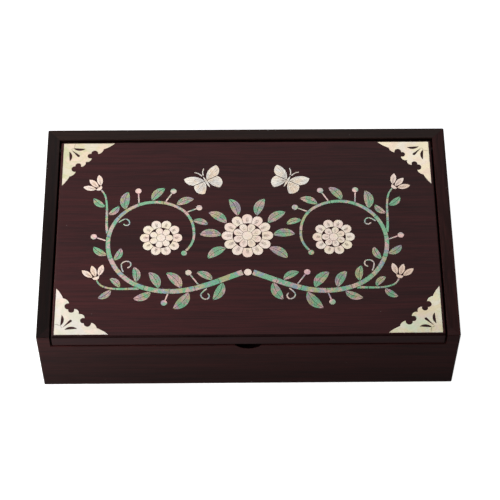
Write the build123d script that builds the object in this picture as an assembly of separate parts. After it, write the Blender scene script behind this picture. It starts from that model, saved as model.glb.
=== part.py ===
from build123d import *
import math
import os

# A lacquered box for papers, with an inset lid that turns on two hidden pins and carries
# inlaid plates of shell. Sizes are in millimetres. X runs to the right, Y to the back and
# Z up. The origin is the middle of the footprint, on the surface that the box stands on.

# Outside of the box
box_width = 400.0
box_depth = 242.5
box_height = 91.0
board_thickness = 12.4
outer_corner_radius = 1.5
rim_radius = 0.8

# Rubber feet under the front and back boards
foot_radius = 4.5
foot_height = 0.8
foot_from_side = 20.0

# Bottom panel, held in a groove in all four boards
bottom_panel_thickness = 5.0
groove_depth = 5.0
groove_above_board = 4.0
groove_slack = 0.1
panel_side_slack = 0.4

# Loose tongues that lock the mitred corners
tongue_thickness = 3.0
tongue_width = 8.0
tongue_height = 46.0
tongue_above_panel = 8.0
tongue_from_faces = 6.5
tongue_slack = 0.05

# Lid
lid_thickness = 15.0
lid_recess = 0.3
lid_side_gap = 1.8
lid_rear_gap = 3.0
lid_front_setback = 0.8
lid_corner_radius = 0.8
lid_arris_radius = 1.2
lid_lower_arris_radius = 1.0

# Buffers that the closed lid lands on
buffer_radius = 4.0
buffer_thickness = 0.8
buffer_from_side = 50.0

# Finger notch, scooped from the face of the front board
notch_radius = 15.0
notch_drop = 6.0
notch_reach = 9.0

# Hidden pivots of the lid
pin_radius = 2.0
pin_in_board = 8.0
pin_in_lid = 9.5
pin_chamfer = 0.4
pin_fit = 0.01
bush_wall = 1.0
bush_length = 10.0
bush_fit = 0.01
running_clearance = 0.05
pivot_below_lid_top = 6.0
pivot_from_lid_rear = 8.0
washer_radius = 3.5
washer_end_play = 0.3

# Fabric linings on card
wall_lining_thickness = 1.5
wall_lining_below_lid = 4.0
floor_lining_thickness = 3.0
lining_slack = 0.3
lid_lining_thickness = 1.2
lid_lining_side_margin = 14.0
lid_lining_front_margin = 18.0
lid_lining_rear_margin = 24.0

# Shell plates let into the top of the lid
shell_thickness = 0.6
shell_proud = 0.05
pocket_clearance = 0.05
saw_gap = 0.4
least_gap = 0.25
least_plate_area = 1.5

# Corner ornaments, and the leaf-shaped slits in them
corner_leg = 51.0
corner_side_margin = 1.4
corner_front_margin = 1.8
corner_rear_margin = 0.3
slit_width = 2.8

# Flowers, each with two rings of petals and an eye
middle_flower_radius = 25.0
middle_flower_ring_width = 10.5
middle_flower_eye_radius = 5.0
middle_petal_count = 12
middle_inner_petal_count = 8
side_flower_radius = 20.5
side_flower_ring_width = 8.6
side_flower_eye_radius = 4.2
side_petal_count = 10
side_inner_petal_count = 7

# Vine on the right, from below the middle flower into a volute round the side flower
vine_start = (5.0, -42.0)
vine_start_heading = -22.0
volute_centre = (84.0, -2.0)
volute_first_radius = 62.0
volute_clear_of_flower = 8.0
volute_first_angle = -100.0
volute_turn = 312.0
vine_first_width = 6.0
vine_last_width = 2.2
vine_plates = 13
vine_end_radius = 2.8
middle_berry_radius = 3.6

# Twigs that leave the vine: share of the vine's length, end point and heading there
twig_lean = 24.0
twig_first_width = 2.6
twig_last_width = 1.5
twig_plates = 4
twigs = [
    (0.32, (145.0, -50.0), 72.0),
    (0.55, (144.0, 55.0), 46.0),
]

# Buds at the ends of the twigs
bud_cup_radius = 3.4
bud_petal_length = 13.0
bud_petal_width = 5.6
bud_petal_turn = 34.0

# Leaves on the vine and on each twig: share of the line, side, length and lean
midrib_gap = 0.5
leaf_width_share = 0.44
leaf_bend_share = 0.10
vine_leaves = [
    (0.070, -1, 21.0, 42.0),
    (0.095, 1, 17.0, 52.0),
    (0.175, -1, 23.0, 40.0),
    (0.195, 1, 22.0, 58.0),
    (0.265, 1, 20.0, 54.0),
    (0.285, -1, 18.0, 38.0),
    (0.340, 1, 17.0, 52.0),
    (0.450, 1, 15.0, 48.0),
    (0.475, -1, 16.0, 40.0),
    (0.650, -1, 21.0, 44.0),
    (0.735, -1, 19.0, 46.0),
    (0.810, -1, 18.0, 50.0),
    (0.885, -1, 15.0, 54.0),
]
twig_leaves = [
    (0.42, 1, 14.0, 46.0),
    (0.60, -1, 15.0, 46.0),
]

# Leaves that stand round the middle flower, by their angle from the X axis
wreath_leaf_length = 21.0
wreath_leaf_angles = [68.0, 36.0, 2.0, -34.0]

# Berries on short stalks: share of the vine, side and length of stalk
berry_radius = 3.0
stalk_width = 1.3
berry_lean = 72.0
berries = [
    (0.140, 1, 13.0),
    (0.235, -1, 7.0),
    (0.525, -1, 9.0),
    (0.695, -1, 11.0),
    (0.775, -1, 11.0),
    (0.850, -1, 9.0),
]

# Thin curls: share of the vine, side and radius of the curl
tendril_width = 1.2
tendril_lean = 20.0
tendril_turn = 290.0
tendril_plates = 3
tendrils = [
    (0.120, -1, 5.5),
    (0.395, 1, 6.0),
    (0.600, 1, 5.0),
]

# Butterflies
butterfly_place = (40.0, 64.0)
butterfly_turn = -28.0
butterfly_wing = 18.0

# Levels and faces that follow from the sizes above
half_width = box_width / 2
half_depth = box_depth / 2
inner_half_width = half_width - board_thickness
inner_half_depth = half_depth - board_thickness
board_bottom = foot_height
lid_top = box_height - lid_recess
lid_bottom = lid_top - lid_thickness
lid_half_width = inner_half_width - lid_side_gap
lid_front = lid_front_setback - half_depth
lid_rear = inner_half_depth - lid_rear_gap
lid_middle_y = (lid_front + lid_rear) / 2
lid_half_depth = (lid_rear - lid_front) / 2
front_board_top = lid_bottom - buffer_thickness
pivot_y = lid_rear - pivot_from_lid_rear
pivot_z = lid_top - pivot_below_lid_top
panel_bottom = board_bottom + groove_above_board
panel_top = panel_bottom + bottom_panel_thickness
wall_lining_top = lid_bottom - wall_lining_below_lid
tongue_bottom = panel_top + tongue_above_panel
shell_top = lid_top + shell_proud
shell_bottom = shell_top - shell_thickness
bush_radius = pin_radius + running_clearance + bush_wall
volute_last_radius = side_flower_radius + volute_clear_of_flower

# Plain amounts that only reach past a face or tell two places apart
past = 10.0
tiny = 0.001

os.makedirs("parts", exist_ok=True)


def save(name, solids):
    """Writes one sub-part, of one solid or of several, under its node's name."""
    solids = list(solids)
    shape = solids[0] if len(solids) == 1 else Compound(children=solids)
    export_step(shape, f"parts/{name}.step")


def block(low, high):
    """A box between its lowest and highest corners."""
    size = [b - a for a, b in zip(low, high)]
    middle = [(a + b) / 2 for a, b in zip(low, high)]
    return Pos(*middle) * Box(*size)


def edges_at(edges, axis, place):
    """The edges that lie wholly where the axis has one value."""
    return edges.filter_by_position(axis, place - tiny, place + tiny)


def rod(radius, length, centre):
    """A cylinder along X round its centre."""
    return Pos(*centre) * Rot(0, 90, 0) * Cylinder(radius, length)


# Case

def wall_ring():
    """The four walls as one ring, with its rounded edges, tongue slots and bottom groove."""
    outside = block((-half_width, -half_depth, board_bottom), (half_width, half_depth, box_height))
    outside = fillet(outside.edges().filter_by(Axis.Z), outer_corner_radius)
    inside = block(
        (-inner_half_width, -inner_half_depth, board_bottom - past),
        (inner_half_width, inner_half_depth, box_height + past),
    )
    ring = outside - inside
    ring = fillet(edges_at(ring.edges(), Axis.Z, box_height), rim_radius)
    groove = block(
        (-inner_half_width - groove_depth, -inner_half_depth - groove_depth, panel_bottom),
        (inner_half_width + groove_depth, inner_half_depth + groove_depth, panel_top + groove_slack),
    )
    return ring - groove - [tongue(x, y, tongue_slack) for x in (-1, 1) for y in (-1, 1)]


def tongue(side_x, side_y, slack=0.0):
    """The tongue that crosses one mitre, or its slot where it is given slack."""
    x = side_x * (half_width - tongue_from_faces)
    y = side_y * (half_depth - tongue_from_faces)
    size = [length + 2 * slack for length in (tongue_width, tongue_thickness, tongue_height)]
    return Pos(x, y, tongue_bottom + tongue_height / 2) * Rot(0, 0, -45 * side_x * side_y) * Box(*size)


def mitred(ring, turn, half_length, half_other):
    """The board of the ring between two mitres, on the side that faces -Y before the turn."""
    reach = board_thickness + past
    corners = [
        (-half_length - past, -half_other - past),
        (half_length + past, -half_other - past),
        (half_length - reach, reach - half_other),
        (reach - half_length, reach - half_other),
    ]
    plan = make_face(Polyline(*corners, close=True))
    wedge = extrude(Pos(0, 0, board_bottom - past) * plan, box_height + 2 * past)
    return ring & (Rot(0, 0, turn) * wedge)


def finger_notch():
    """The cutter for the shallow half-moon that a finger goes into."""
    length = notch_reach + past
    centre = (0, -half_depth - past + length / 2, front_board_top + notch_radius - notch_drop)
    return Pos(*centre) * Rot(90, 0, 0) * Cylinder(notch_radius, length)


def front_board(ring):
    """The front board, lowered between its ends for the lid to lie over it."""
    seat = block(
        (-inner_half_width, -half_depth - past, front_board_top),
        (inner_half_width, past - inner_half_depth, box_height + past),
    )
    board = mitred(ring, 0, half_width, half_depth) - seat
    level = edges_at(board.edges(), Axis.Z, front_board_top)
    board = fillet(edges_at(level, Axis.Y, -half_depth), rim_radius)
    return board - finger_notch()


def side_board(ring, side):
    """The left or the right board, with the blind hole for its pivot pin."""
    board = mitred(ring, 90 * side, half_depth, half_width)
    middle_x = side * (inner_half_width + (pin_in_board - past) / 2)
    return board - rod(pin_radius + pin_fit, pin_in_board + past, (middle_x, pivot_y, pivot_z))


def bottom_panel():
    """The panel that lies on the lower side of the groove."""
    reach = groove_depth - panel_side_slack
    return block(
        (-inner_half_width - reach, -inner_half_depth - reach, panel_bottom),
        (inner_half_width + reach, inner_half_depth + reach, panel_top),
    )


def foot(side_x, side_y):
    """One rubber foot."""
    x = side_x * (half_width - foot_from_side)
    y = side_y * (half_depth - board_thickness / 2)
    return Pos(x, y, foot_height / 2) * Cylinder(foot_radius, foot_height)


def lid_buffer(side):
    """One rubber disc on the top of the front board."""
    x = side * (half_width - buffer_from_side)
    centre = (x, board_thickness / 2 - half_depth, lid_bottom - buffer_thickness / 2)
    return Pos(*centre) * Cylinder(buffer_radius, buffer_thickness)


def floor_lining():
    """The pad on the bottom panel, between the four wall pads."""
    x = inner_half_width - wall_lining_thickness - lining_slack
    y = inner_half_depth - wall_lining_thickness - lining_slack
    return block((-x, -y, panel_top), (x, y, panel_top + floor_lining_thickness))


def long_wall_lining(side):
    """The pad on the inside of the front or the back board."""
    inner, outer = inner_half_depth - wall_lining_thickness, inner_half_depth
    low, high = sorted((side * inner, side * outer))
    reach = inner_half_width - lining_slack
    return block((-reach, low, panel_top), (reach, high, wall_lining_top))


def short_wall_lining(side):
    """The pad on the inside of the left or the right board, between the long ones."""
    inner, outer = inner_half_width - wall_lining_thickness, inner_half_width
    low, high = sorted((side * inner, side * outer))
    reach = inner_half_depth - wall_lining_thickness - lining_slack
    return block((low, -reach, panel_top), (high, reach, wall_lining_top))


# Pivots

def pivot_pin(side):
    """The steel pin, driven into the side board and standing into the lid."""
    length = pin_in_board + lid_side_gap + pin_in_lid
    centre_x = side * (inner_half_width + pin_in_board - length / 2)
    pin = rod(pin_radius, length, (centre_x, pivot_y, pivot_z))
    return chamfer(pin.edges().filter_by(GeomType.CIRCLE), pin_chamfer)


def pivot_washer(side):
    """The washer on the pin, between the side board and the end of the lid."""
    thickness = lid_side_gap - washer_end_play
    centre = (side * (inner_half_width - thickness / 2), pivot_y, pivot_z)
    bore = rod(pin_radius + running_clearance, thickness + past, centre)
    return rod(washer_radius, thickness, centre) - bore


def lid_bush(side):
    """The brass tube in the end of the lid that turns on the pin."""
    centre = (side * (lid_half_width - bush_length / 2), pivot_y, pivot_z)
    bore = rod(pin_radius + running_clearance, bush_length + past, centre)
    return rod(bush_radius, bush_length, centre) - bore


# Flat outlines of the shell plates, drawn round the middle of the lid with Y to the back

def plate(*edges):
    """A flat face inside a closed run of lines and arcs."""
    return make_face(list(edges)).face()


def turned(distance, angle, centre=(0.0, 0.0)):
    """The point at a distance and an angle in degrees from a centre."""
    radians = math.radians(angle)
    return (centre[0] + distance * math.cos(radians), centre[1] + distance * math.sin(radians))


def lens(length, width):
    """A pointed oval from the origin along X."""
    start, end = (0, 0), (length, 0)
    upper, lower = (length / 2, width / 2), (length / 2, -width / 2)
    return plate(ThreePointArc(start, upper, end), ThreePointArc(end, lower, start))


def petal(count, inner, outer, angle):
    """One petal of a ring: two sides half a saw gap inside its sector, and a round end tangent to both."""
    half_pitch = math.radians(180 / count)
    inset = saw_gap / 2
    round_centre = (outer + inset) / (1 + math.sin(half_pitch))
    sides = []
    for side in (-1, 1):
        for reach in (math.sqrt(inner**2 - inset**2), round_centre * math.cos(half_pitch)):
            off = math.degrees(half_pitch - math.atan2(inset, reach))
            sides.append(turned(math.hypot(reach, inset), angle + side * off))
    low_root, low_shoulder, high_root, high_shoulder = sides
    return plate(
        Line(low_root, low_shoulder),
        ThreePointArc(low_shoulder, turned(outer, angle), high_shoulder),
        Line(high_shoulder, high_root),
        ThreePointArc(high_root, turned(inner, angle), low_root),
    )


def flower(centre, radius, ring_width, eye_radius, outer_count, inner_count):
    """Two rings of petals round a disc."""
    split = radius - ring_width
    plates = [petal(outer_count, split, radius, 360 / outer_count * i) for i in range(outer_count)]
    inner, outer = eye_radius + saw_gap, split - saw_gap
    plates += [petal(inner_count, inner, outer, 360 / inner_count * (i + 0.5)) for i in range(inner_count)]
    plates.append(Circle(eye_radius).face())
    return [Pos(*centre, 0) * face for face in plates]


def half_leaf(length, side):
    """One half of a leaf, beside its midrib, from the origin along X and bent to the left."""
    bend = length * leaf_bend_share
    rib = side * midrib_gap / 2
    start, end = (0, rib), (length, rib)
    outer = (length * 0.46, bend + side * length * leaf_width_share / 2)
    inner = (length * 0.5, bend + rib)
    return plate(ThreePointArc(start, outer, end), ThreePointArc(end, inner, start))


def leaf(length, bent_to=1):
    """Both halves of a leaf, bent to the left or to the right."""
    halves = [half_leaf(length, side) for side in (-1, 1)]
    return halves if bent_to > 0 else [mirror(face, Plane.XZ).face() for face in halves]


def vine_line():
    """The line of the right-hand vine: a spiral that winds in towards the side flower."""
    steps = 9
    points = [vine_start]
    for step in range(steps + 1):
        share = step / steps
        radius = volute_first_radius + share * (volute_last_radius - volute_first_radius)
        points.append(turned(radius, volute_first_angle + share * volute_turn, volute_centre))
    headings = [vine_start_heading, volute_first_angle + volute_turn + 90]
    return Spline(*points, tangents=[turned(1, heading) for heading in headings])


def vine_half_width(share):
    """Half of the vine's width at a share of its length."""
    return (vine_first_width + share * (vine_last_width - vine_first_width)) / 2


def heading_of(line, share):
    """The direction of a line at a share of its length, in degrees."""
    along = line % share
    return math.degrees(math.atan2(along.Y, along.X))


def beside(line, share, off):
    """The point at a share of a line's length, moved to its left by an amount."""
    point, along = line @ share, line % share
    return (point.X - along.Y * off, point.Y + along.X * off)


def at_side(line, share, side, lean, off):
    """The place beside a line, turned to lean away from its direction."""
    return Pos(*beside(line, share, side * off), 0) * Rot(0, 0, heading_of(line, share) + side * lean)


def ribbon(line, start, end, first_width, last_width):
    """One plate that follows a line from one share of its length to another."""
    shares = (start, (start + end) / 2, end)
    widths = (first_width, (first_width + last_width) / 2, last_width)
    left = [beside(line, share, width / 2) for share, width in zip(shares, widths)]
    right = [beside(line, share, -width / 2) for share, width in zip(shares, widths)]
    return plate(
        ThreePointArc(*left),
        Line(left[2], right[2]),
        ThreePointArc(*reversed(right)),
        Line(right[0], left[0]),
    )


def ribbons(line, count, first_width, last_width):
    """A row of plates along a line, each narrower than the one before it."""
    half_gap = saw_gap / 2 / line.length
    widths = [first_width + (last_width - first_width) * i / count for i in range(count + 1)]
    return [
        ribbon(line, i / count + half_gap, (i + 1) / count - half_gap, widths[i], widths[i + 1])
        for i in range(count)
    ]


def twig_line(vine, share, end, end_heading):
    """The line of a twig, from the outer side of the vine to its bud."""
    start = beside(vine, share, -vine_half_width(share))
    headings = (heading_of(vine, share) - twig_lean, end_heading)
    return Spline(start, end, tangents=[turned(1, heading) for heading in headings])


def bud(twig):
    """The cup and the three petals at the end of a twig."""
    low, high = (bud_cup_radius, -bud_cup_radius), (bud_cup_radius, bud_cup_radius)
    plates = [plate(ThreePointArc(low, (0, 0), high), Line(high, low))]
    root = Pos(bud_cup_radius + saw_gap, 0, 0)
    middle = root * lens(bud_petal_length, bud_petal_width)
    plates.append(middle)
    for side in (-1, 1):
        aside = Pos(0, side * (bud_petal_width / 2 + saw_gap), 0) * Rot(0, 0, side * bud_petal_turn)
        plates.append(root * aside * lens(bud_petal_length, bud_petal_width))
    place = at_side(twig, 1.0, 1, 0, 0) * Pos(saw_gap, 0, 0)
    return [place * face for face in plates]


def berry(vine, share, side, stalk):
    """A disc on a thin stalk beside the vine."""
    place = at_side(vine, share, side, berry_lean, vine_half_width(share) + saw_gap)
    stem = Pos(stalk / 2, 0, 0) * Rectangle(stalk, stalk_width)
    fruit = Pos(stalk + saw_gap + berry_radius, 0, 0) * Circle(berry_radius)
    return [place * stem.face(), place * fruit.face()]


def tendril(vine, share, side, radius):
    """A thin curl that leaves the vine and winds in on itself."""
    steps = 5
    points = [(0.0, 0.0)]
    for step in range(1, steps + 1):
        part = step / steps
        curl = radius * (1 - 0.55 * part)
        points.append(turned(curl, tendril_turn * part - 90, (radius, radius)))
    points = [(x, side * y) for x, y in points]
    place = at_side(vine, share, side, tendril_lean, vine_half_width(share) + tendril_width)
    curl = Spline(*points, tangents=[(1, 0), turned(1, side * tendril_turn)])
    return [place * face for face in ribbons(curl, tendril_plates, tendril_width, tendril_width)]


def butterfly():
    """Four wings, a body and two feelers, with the head towards +Y before it is turned."""
    wing = butterfly_wing
    body_width = wing * 0.12
    plates = [Pos(0, -wing * 0.42, 0) * Rot(0, 0, 90) * lens(wing * 0.84, body_width)]
    for side in (-1, 1):
        near = side * (body_width / 2 + saw_gap)
        root, waist = (near, wing * 0.10), (near, wing * 0.10 - 2 * saw_gap)
        tip, corner = (side * wing, wing * 0.74), (side * wing * 0.74, wing * 0.12)
        hip, tail = (side * wing * 0.70, wing * 0.12 - 2 * saw_gap), (side * wing * 0.46, -wing * 0.66)
        plates.append(plate(
            ThreePointArc(root, (side * wing * 0.44, wing * 0.62), tip),
            ThreePointArc(tip, (side * wing * 0.98, wing * 0.36), corner),
            Line(corner, root),
        ))
        plates.append(plate(
            Line(waist, hip),
            ThreePointArc(hip, (side * wing * 0.76, -wing * 0.44), tail),
            ThreePointArc(tail, (side * wing * 0.20, -wing * 0.36), waist),
        ))
        feeler = ThreePointArc(
            (side * body_width * 0.4, wing * 0.46),
            (side * wing * 0.12, wing * 0.68),
            (side * wing * 0.30, wing * 0.86),
        )
        plates.append(ribbon(feeler, 0, 1, body_width / 2, body_width / 3))
    return [Pos(*butterfly_place, 0) * Rot(0, 0, butterfly_turn) * face for face in plates]


def drop(length, width):
    """A slit from a point at the origin to a round end along X."""
    radius = width / 2
    middle = (length - radius, 0)
    lean = math.degrees(math.acos(radius / middle[0]))
    low, high = turned(radius, -lean, middle), turned(radius, lean, middle)
    return plate(Line((0, 0), low), ThreePointArc(low, (length, 0), high), Line(high, (0, 0)))


def side_slit():
    """The arched slit beside the leg that runs along X."""
    start, end = (0.190 * corner_leg, 0.108 * corner_leg), (0.426 * corner_leg, 0.126 * corner_leg)
    upper = (0.330 * corner_leg, 0.172 * corner_leg)
    lower = (upper[0], upper[1] - slit_width)
    return plate(ThreePointArc(start, upper, end), ThreePointArc(end, lower, start))


def corner_plate():
    """One corner ornament, with its square corner at the origin and its legs along X and Y."""
    scallops = [
        ((0.905, 0.075), (0.785, 0.137)),
        ((0.752, 0.208), (0.676, 0.252)),
        ((0.602, 0.170), (0.545, 0.245)),
        ((0.472, 0.290), (0.553, 0.352)),
        ((0.520, 0.425), (0.437, 0.437)),
    ]
    arcs = []
    start = (1.0, 0.0)
    for via, end in scallops:
        arcs.append((start, via, end))
        start = end
    arcs += [tuple((y, x) for x, y in reversed(arc)) for arc in reversed(arcs)]
    edges = [ThreePointArc(*[(x * corner_leg, y * corner_leg) for x, y in arc]) for arc in arcs]
    edges += [Line((0, corner_leg), (0, 0)), Line((0, 0), (corner_leg, 0))]
    middle_slit = Pos(0.145 * corner_leg, 0.145 * corner_leg, 0) * Rot(0, 0, 45) * drop(
        0.24 * corner_leg, slit_width
    )
    other_slit = mirror(side_slit(), Plane((0, 0, 0), x_dir=(1, 1, 0), z_dir=(1, -1, 0)))
    return (plate(*edges) - [side_slit(), middle_slit, other_slit]).face()


def middle_flower():
    """The large flower in the middle, and the berry between the two vines."""
    rings = (middle_flower_radius, middle_flower_ring_width, middle_flower_eye_radius)
    plates = flower((0, 0), *rings, middle_petal_count, middle_inner_petal_count)
    return plates + [Pos(0, vine_start[1], 0) * Circle(middle_berry_radius).face()]


def right_groups():
    """The plates on the right of the lid by the name of their group, those that lie on top first."""
    vine = vine_line()
    twig_lines = [twig_line(vine, *twig) for twig in twigs]
    rings = (side_flower_radius, side_flower_ring_width, side_flower_eye_radius)

    stems = ribbons(vine, vine_plates, vine_first_width, vine_last_width)
    end = at_side(vine, 1.0, 1, 0, 0) * Pos(saw_gap + vine_end_radius, 0, 0)
    stems.append(end * Circle(vine_end_radius).face())
    for line in twig_lines:
        stems += ribbons(line, twig_plates, twig_first_width, twig_last_width)

    leaves = []
    for line, places, root in [(vine, vine_leaves, vine_half_width)] + [
        (line, twig_leaves, lambda share: twig_first_width / 2) for line in twig_lines
    ]:
        for share, side, length, lean in places:
            place = at_side(line, share, side, lean, root(share) + saw_gap)
            leaves += [place * face for face in leaf(length, side)]
    for angle in wreath_leaf_angles:
        place = Rot(0, 0, angle) * Pos(middle_flower_radius + saw_gap, 0, 0)
        leaves += [place * face for face in leaf(wreath_leaf_length)]

    return {
        "flower": flower(volute_centre, *rings, side_petal_count, side_inner_petal_count),
        "vine": stems,
        "buds": [face for line in twig_lines for face in bud(line)],
        "butterfly": butterfly(),
        "berries": [face for place in berries for face in berry(vine, *place)],
        "tendrils": [face for place in tendrils for face in tendril(vine, *place)],
        "leaves": leaves,
    }


def sawn_clear(groups, fixed):
    """The groups with each plate cut back where it would meet a plate that was laid before it."""
    laid = [(face, face.bounding_box()) for face in fixed]
    result = {}
    for name, faces in groups.items():
        result[name] = []
        for face in faces:
            box = face.bounding_box()
            near = [other for other, place in laid if boxes_meet(box, place)]
            for other in near:
                if face.distance_to(other) < least_gap:
                    face = face - offset(other, saw_gap)
            kept = [part for part in face.faces() if part.area > least_plate_area]
            result[name] += kept
            laid += [(part, part.bounding_box()) for part in kept]
    return result


def boxes_meet(a, b):
    """Whether two flat boxes come closer than the least gap."""
    apart_x = max(a.min.X - b.max.X, b.min.X - a.max.X)
    apart_y = max(a.min.Y - b.max.Y, b.min.Y - a.max.Y)
    return max(apart_x, apart_y) < least_gap


def corner_place(side_x, side_y):
    """The place of one corner ornament, round the middle of the lid."""
    x = side_x * (lid_half_width - lid_arris_radius - corner_side_margin)
    margin = corner_front_margin if side_y < 0 else corner_rear_margin
    y = side_y * (lid_half_depth - lid_arris_radius - margin)
    quarter = {(-1, -1): 0, (1, -1): 90, (1, 1): 180, (-1, 1): 270}[side_x, side_y]
    return Pos(x, y, 0) * Rot(0, 0, quarter)


def all_plates():
    """Every shell plate's outline, by the name of its node."""
    middle = middle_flower()
    nodes = {"middle_flower_inlay": middle}
    for name, faces in sawn_clear(right_groups(), middle).items():
        nodes[f"right_{name}_inlay"] = faces
        nodes[f"left_{name}_inlay"] = [mirror(face, Plane.YZ) for face in faces]
    ornament = corner_plate()
    for row, side_y in (("front", -1), ("rear", 1)):
        for hand, side_x in (("left", -1), ("right", 1)):
            nodes[f"{row}_{hand}_corner_inlay"] = [corner_place(side_x, side_y) * ornament]
    return nodes


def raised(face, low, high):
    """A solid of a flat outline between two heights, at the middle of the lid."""
    placed = Pos(0, lid_middle_y, low) * face
    return Solid.extrude(placed.face(), Vector(0, 0, high - low))


# Lid

def lid_panel(outlines):
    """The lid's board, with a pocket for each plate and a hole for each bush."""
    low = (-lid_half_width, lid_front, lid_bottom)
    high = (lid_half_width, lid_rear, lid_top)
    panel = block(low, high)
    panel = fillet(panel.edges().filter_by(Axis.Z), lid_corner_radius)
    panel = fillet(edges_at(panel.edges(), Axis.Z, lid_top), lid_arris_radius)
    panel = fillet(edges_at(panel.edges(), Axis.Z, lid_bottom), lid_lower_arris_radius)
    cutters = [raised(offset(face, pocket_clearance), shell_bottom, box_height) for face in outlines]
    for side in (-1, 1):
        centre = (side * (lid_half_width + (past - bush_length) / 2), pivot_y, pivot_z)
        cutters.append(rod(bush_radius + bush_fit, bush_length + past, centre))
    return panel - cutters


def lid_lining():
    """The pad under the lid, clear of the front board and of the rear edge as the lid turns."""
    x = lid_half_width - lid_lining_side_margin
    low = (-x, lid_front + lid_lining_front_margin, lid_bottom - lid_lining_thickness)
    return block(low, (x, lid_rear - lid_lining_rear_margin, lid_bottom))


ring = wall_ring()
save("front_board", front_board(ring).solids())
save("back_board", mitred(ring, 180, half_width, half_depth).solids())
save("bottom_panel", bottom_panel().solids())
save("floor_lining", floor_lining().solids())
for hand, side in (("left", -1), ("right", 1)):
    save(f"{hand}_side_board", side_board(ring, side).solids())
    save(f"{hand}_wall_lining", short_wall_lining(side).solids())
    save(f"{hand}_lid_buffer", lid_buffer(side).solids())
    save(f"{hand}_pivot_pin", pivot_pin(side).solids())
    save(f"{hand}_pivot_washer", pivot_washer(side).solids())
    save(f"{hand}_lid_bush", lid_bush(side).solids())
for row, side_y in (("front", -1), ("rear", 1)):
    save(f"{row}_wall_lining", long_wall_lining(side_y).solids())
    for hand, side_x in (("left", -1), ("right", 1)):
        save(f"{row}_{hand}_foot", foot(side_x, side_y).solids())
        save(f"{row}_{hand}_corner_tongue", tongue(side_x, side_y).solids())

plates = all_plates()
for name, faces in plates.items():
    save(name, [raised(face, shell_bottom, shell_top) for face in faces])
save("lid_panel", lid_panel([face for faces in plates.values() for face in faces]).solids())
save("lid_lining", lid_lining().solids())
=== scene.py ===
# %% [markdown]
# # A lacquered box for papers, with shell let into its lid
#
# The solids of the box come from its CAD model: boards, lid, pins, and every sawn plate of
# shell. This lesson dresses them. It lays a wood grain under dark lacquer, gives the shell its
# shifting colours, cuts the engraver's lines, sews the velvet pads inside, and lights it all.
# Every object is in metres and stays where the CAD model puts it.

# %% Load the box
import math

import bmesh
import bpy
from mathutils import Matrix, Vector, noise


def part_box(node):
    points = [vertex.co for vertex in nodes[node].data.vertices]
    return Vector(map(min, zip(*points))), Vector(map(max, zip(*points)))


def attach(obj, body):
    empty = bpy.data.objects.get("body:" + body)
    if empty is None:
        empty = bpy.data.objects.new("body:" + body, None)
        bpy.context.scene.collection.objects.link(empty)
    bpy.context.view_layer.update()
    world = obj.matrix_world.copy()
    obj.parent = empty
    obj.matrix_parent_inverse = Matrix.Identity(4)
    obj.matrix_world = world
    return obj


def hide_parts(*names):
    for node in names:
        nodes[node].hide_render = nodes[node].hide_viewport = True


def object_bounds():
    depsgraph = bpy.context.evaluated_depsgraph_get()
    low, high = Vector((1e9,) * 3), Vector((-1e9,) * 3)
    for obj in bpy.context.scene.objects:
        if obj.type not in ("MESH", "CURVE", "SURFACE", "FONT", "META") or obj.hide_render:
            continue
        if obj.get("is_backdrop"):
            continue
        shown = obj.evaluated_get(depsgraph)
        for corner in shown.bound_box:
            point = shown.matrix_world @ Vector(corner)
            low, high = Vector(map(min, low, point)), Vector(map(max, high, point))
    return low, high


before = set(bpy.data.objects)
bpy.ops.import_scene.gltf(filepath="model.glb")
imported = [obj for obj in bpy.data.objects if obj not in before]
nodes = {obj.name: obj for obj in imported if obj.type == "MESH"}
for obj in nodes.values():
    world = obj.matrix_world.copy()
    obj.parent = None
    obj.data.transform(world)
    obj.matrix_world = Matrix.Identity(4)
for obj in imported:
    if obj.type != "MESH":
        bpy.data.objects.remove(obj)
cad_low, cad_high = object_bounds()


def in_mm(lengths):
    """Lengths in metres as rounded millimetres, to print them."""
    return [round(1000 * length, 1) for length in lengths]


print("outside size in mm", in_mm(cad_high - cad_low))

# %% [markdown]
# ## The camera
#
# The box is seen from the front and from high above, through a long lens, so that its sides
# hardly draw together. A camera could be aimed by eye. Six corners of the box can be seen,
# though, and the place below was worked out from them. It repeats them to a fraction of a pixel,
# so that shapes and colours can be compared in the same place.

# %% Set up the camera
CAMERA_LENS = 130.68
CAMERA_SENSOR = 36.0
CAMERA_DISTANCE = 1.8480
CAMERA_ELEVATION = math.radians(57.28)
CAMERA_YAW = math.radians(1.09)
CAMERA_ROLL = math.radians(0.56)
AIM_RIGHT = 0.0028
AIM_UP = 0.0289
NEAREST_SEEN = 0.05
FARTHEST_SEEN = 60.0


def linked(made):
    """Puts a new object into the scene."""
    bpy.context.scene.collection.objects.link(made)
    return made


def photo_camera():
    """A camera at the height, turn and roll of the photograph, aimed a little above the box's foot."""
    back = Vector((0, -math.cos(CAMERA_ELEVATION), math.sin(CAMERA_ELEVATION)))
    up = Vector((0, math.sin(CAMERA_ELEVATION), math.cos(CAMERA_ELEVATION)))
    right = Vector((1, 0, 0))
    place = back * CAMERA_DISTANCE + right * AIM_RIGHT + up * AIM_UP
    rolled_right = right * math.cos(CAMERA_ROLL) + up * math.sin(CAMERA_ROLL)
    rolled_up = up * math.cos(CAMERA_ROLL) - right * math.sin(CAMERA_ROLL)
    axes = Matrix((rolled_right, rolled_up, back)).transposed().to_4x4()
    data = bpy.data.cameras.new("photo_camera")
    data.lens = CAMERA_LENS
    data.sensor_width = CAMERA_SENSOR
    data.clip_start = NEAREST_SEEN
    data.clip_end = FARTHEST_SEEN
    camera = linked(bpy.data.objects.new("photo_camera", data))
    camera.matrix_world = Matrix.Rotation(-CAMERA_YAW, 4, "Z") @ Matrix.Translation(place) @ axes
    return camera


bpy.context.scene.camera = photo_camera()
print("camera at", [round(c, 3) for c in bpy.context.scene.camera.matrix_world.translation])

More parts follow.
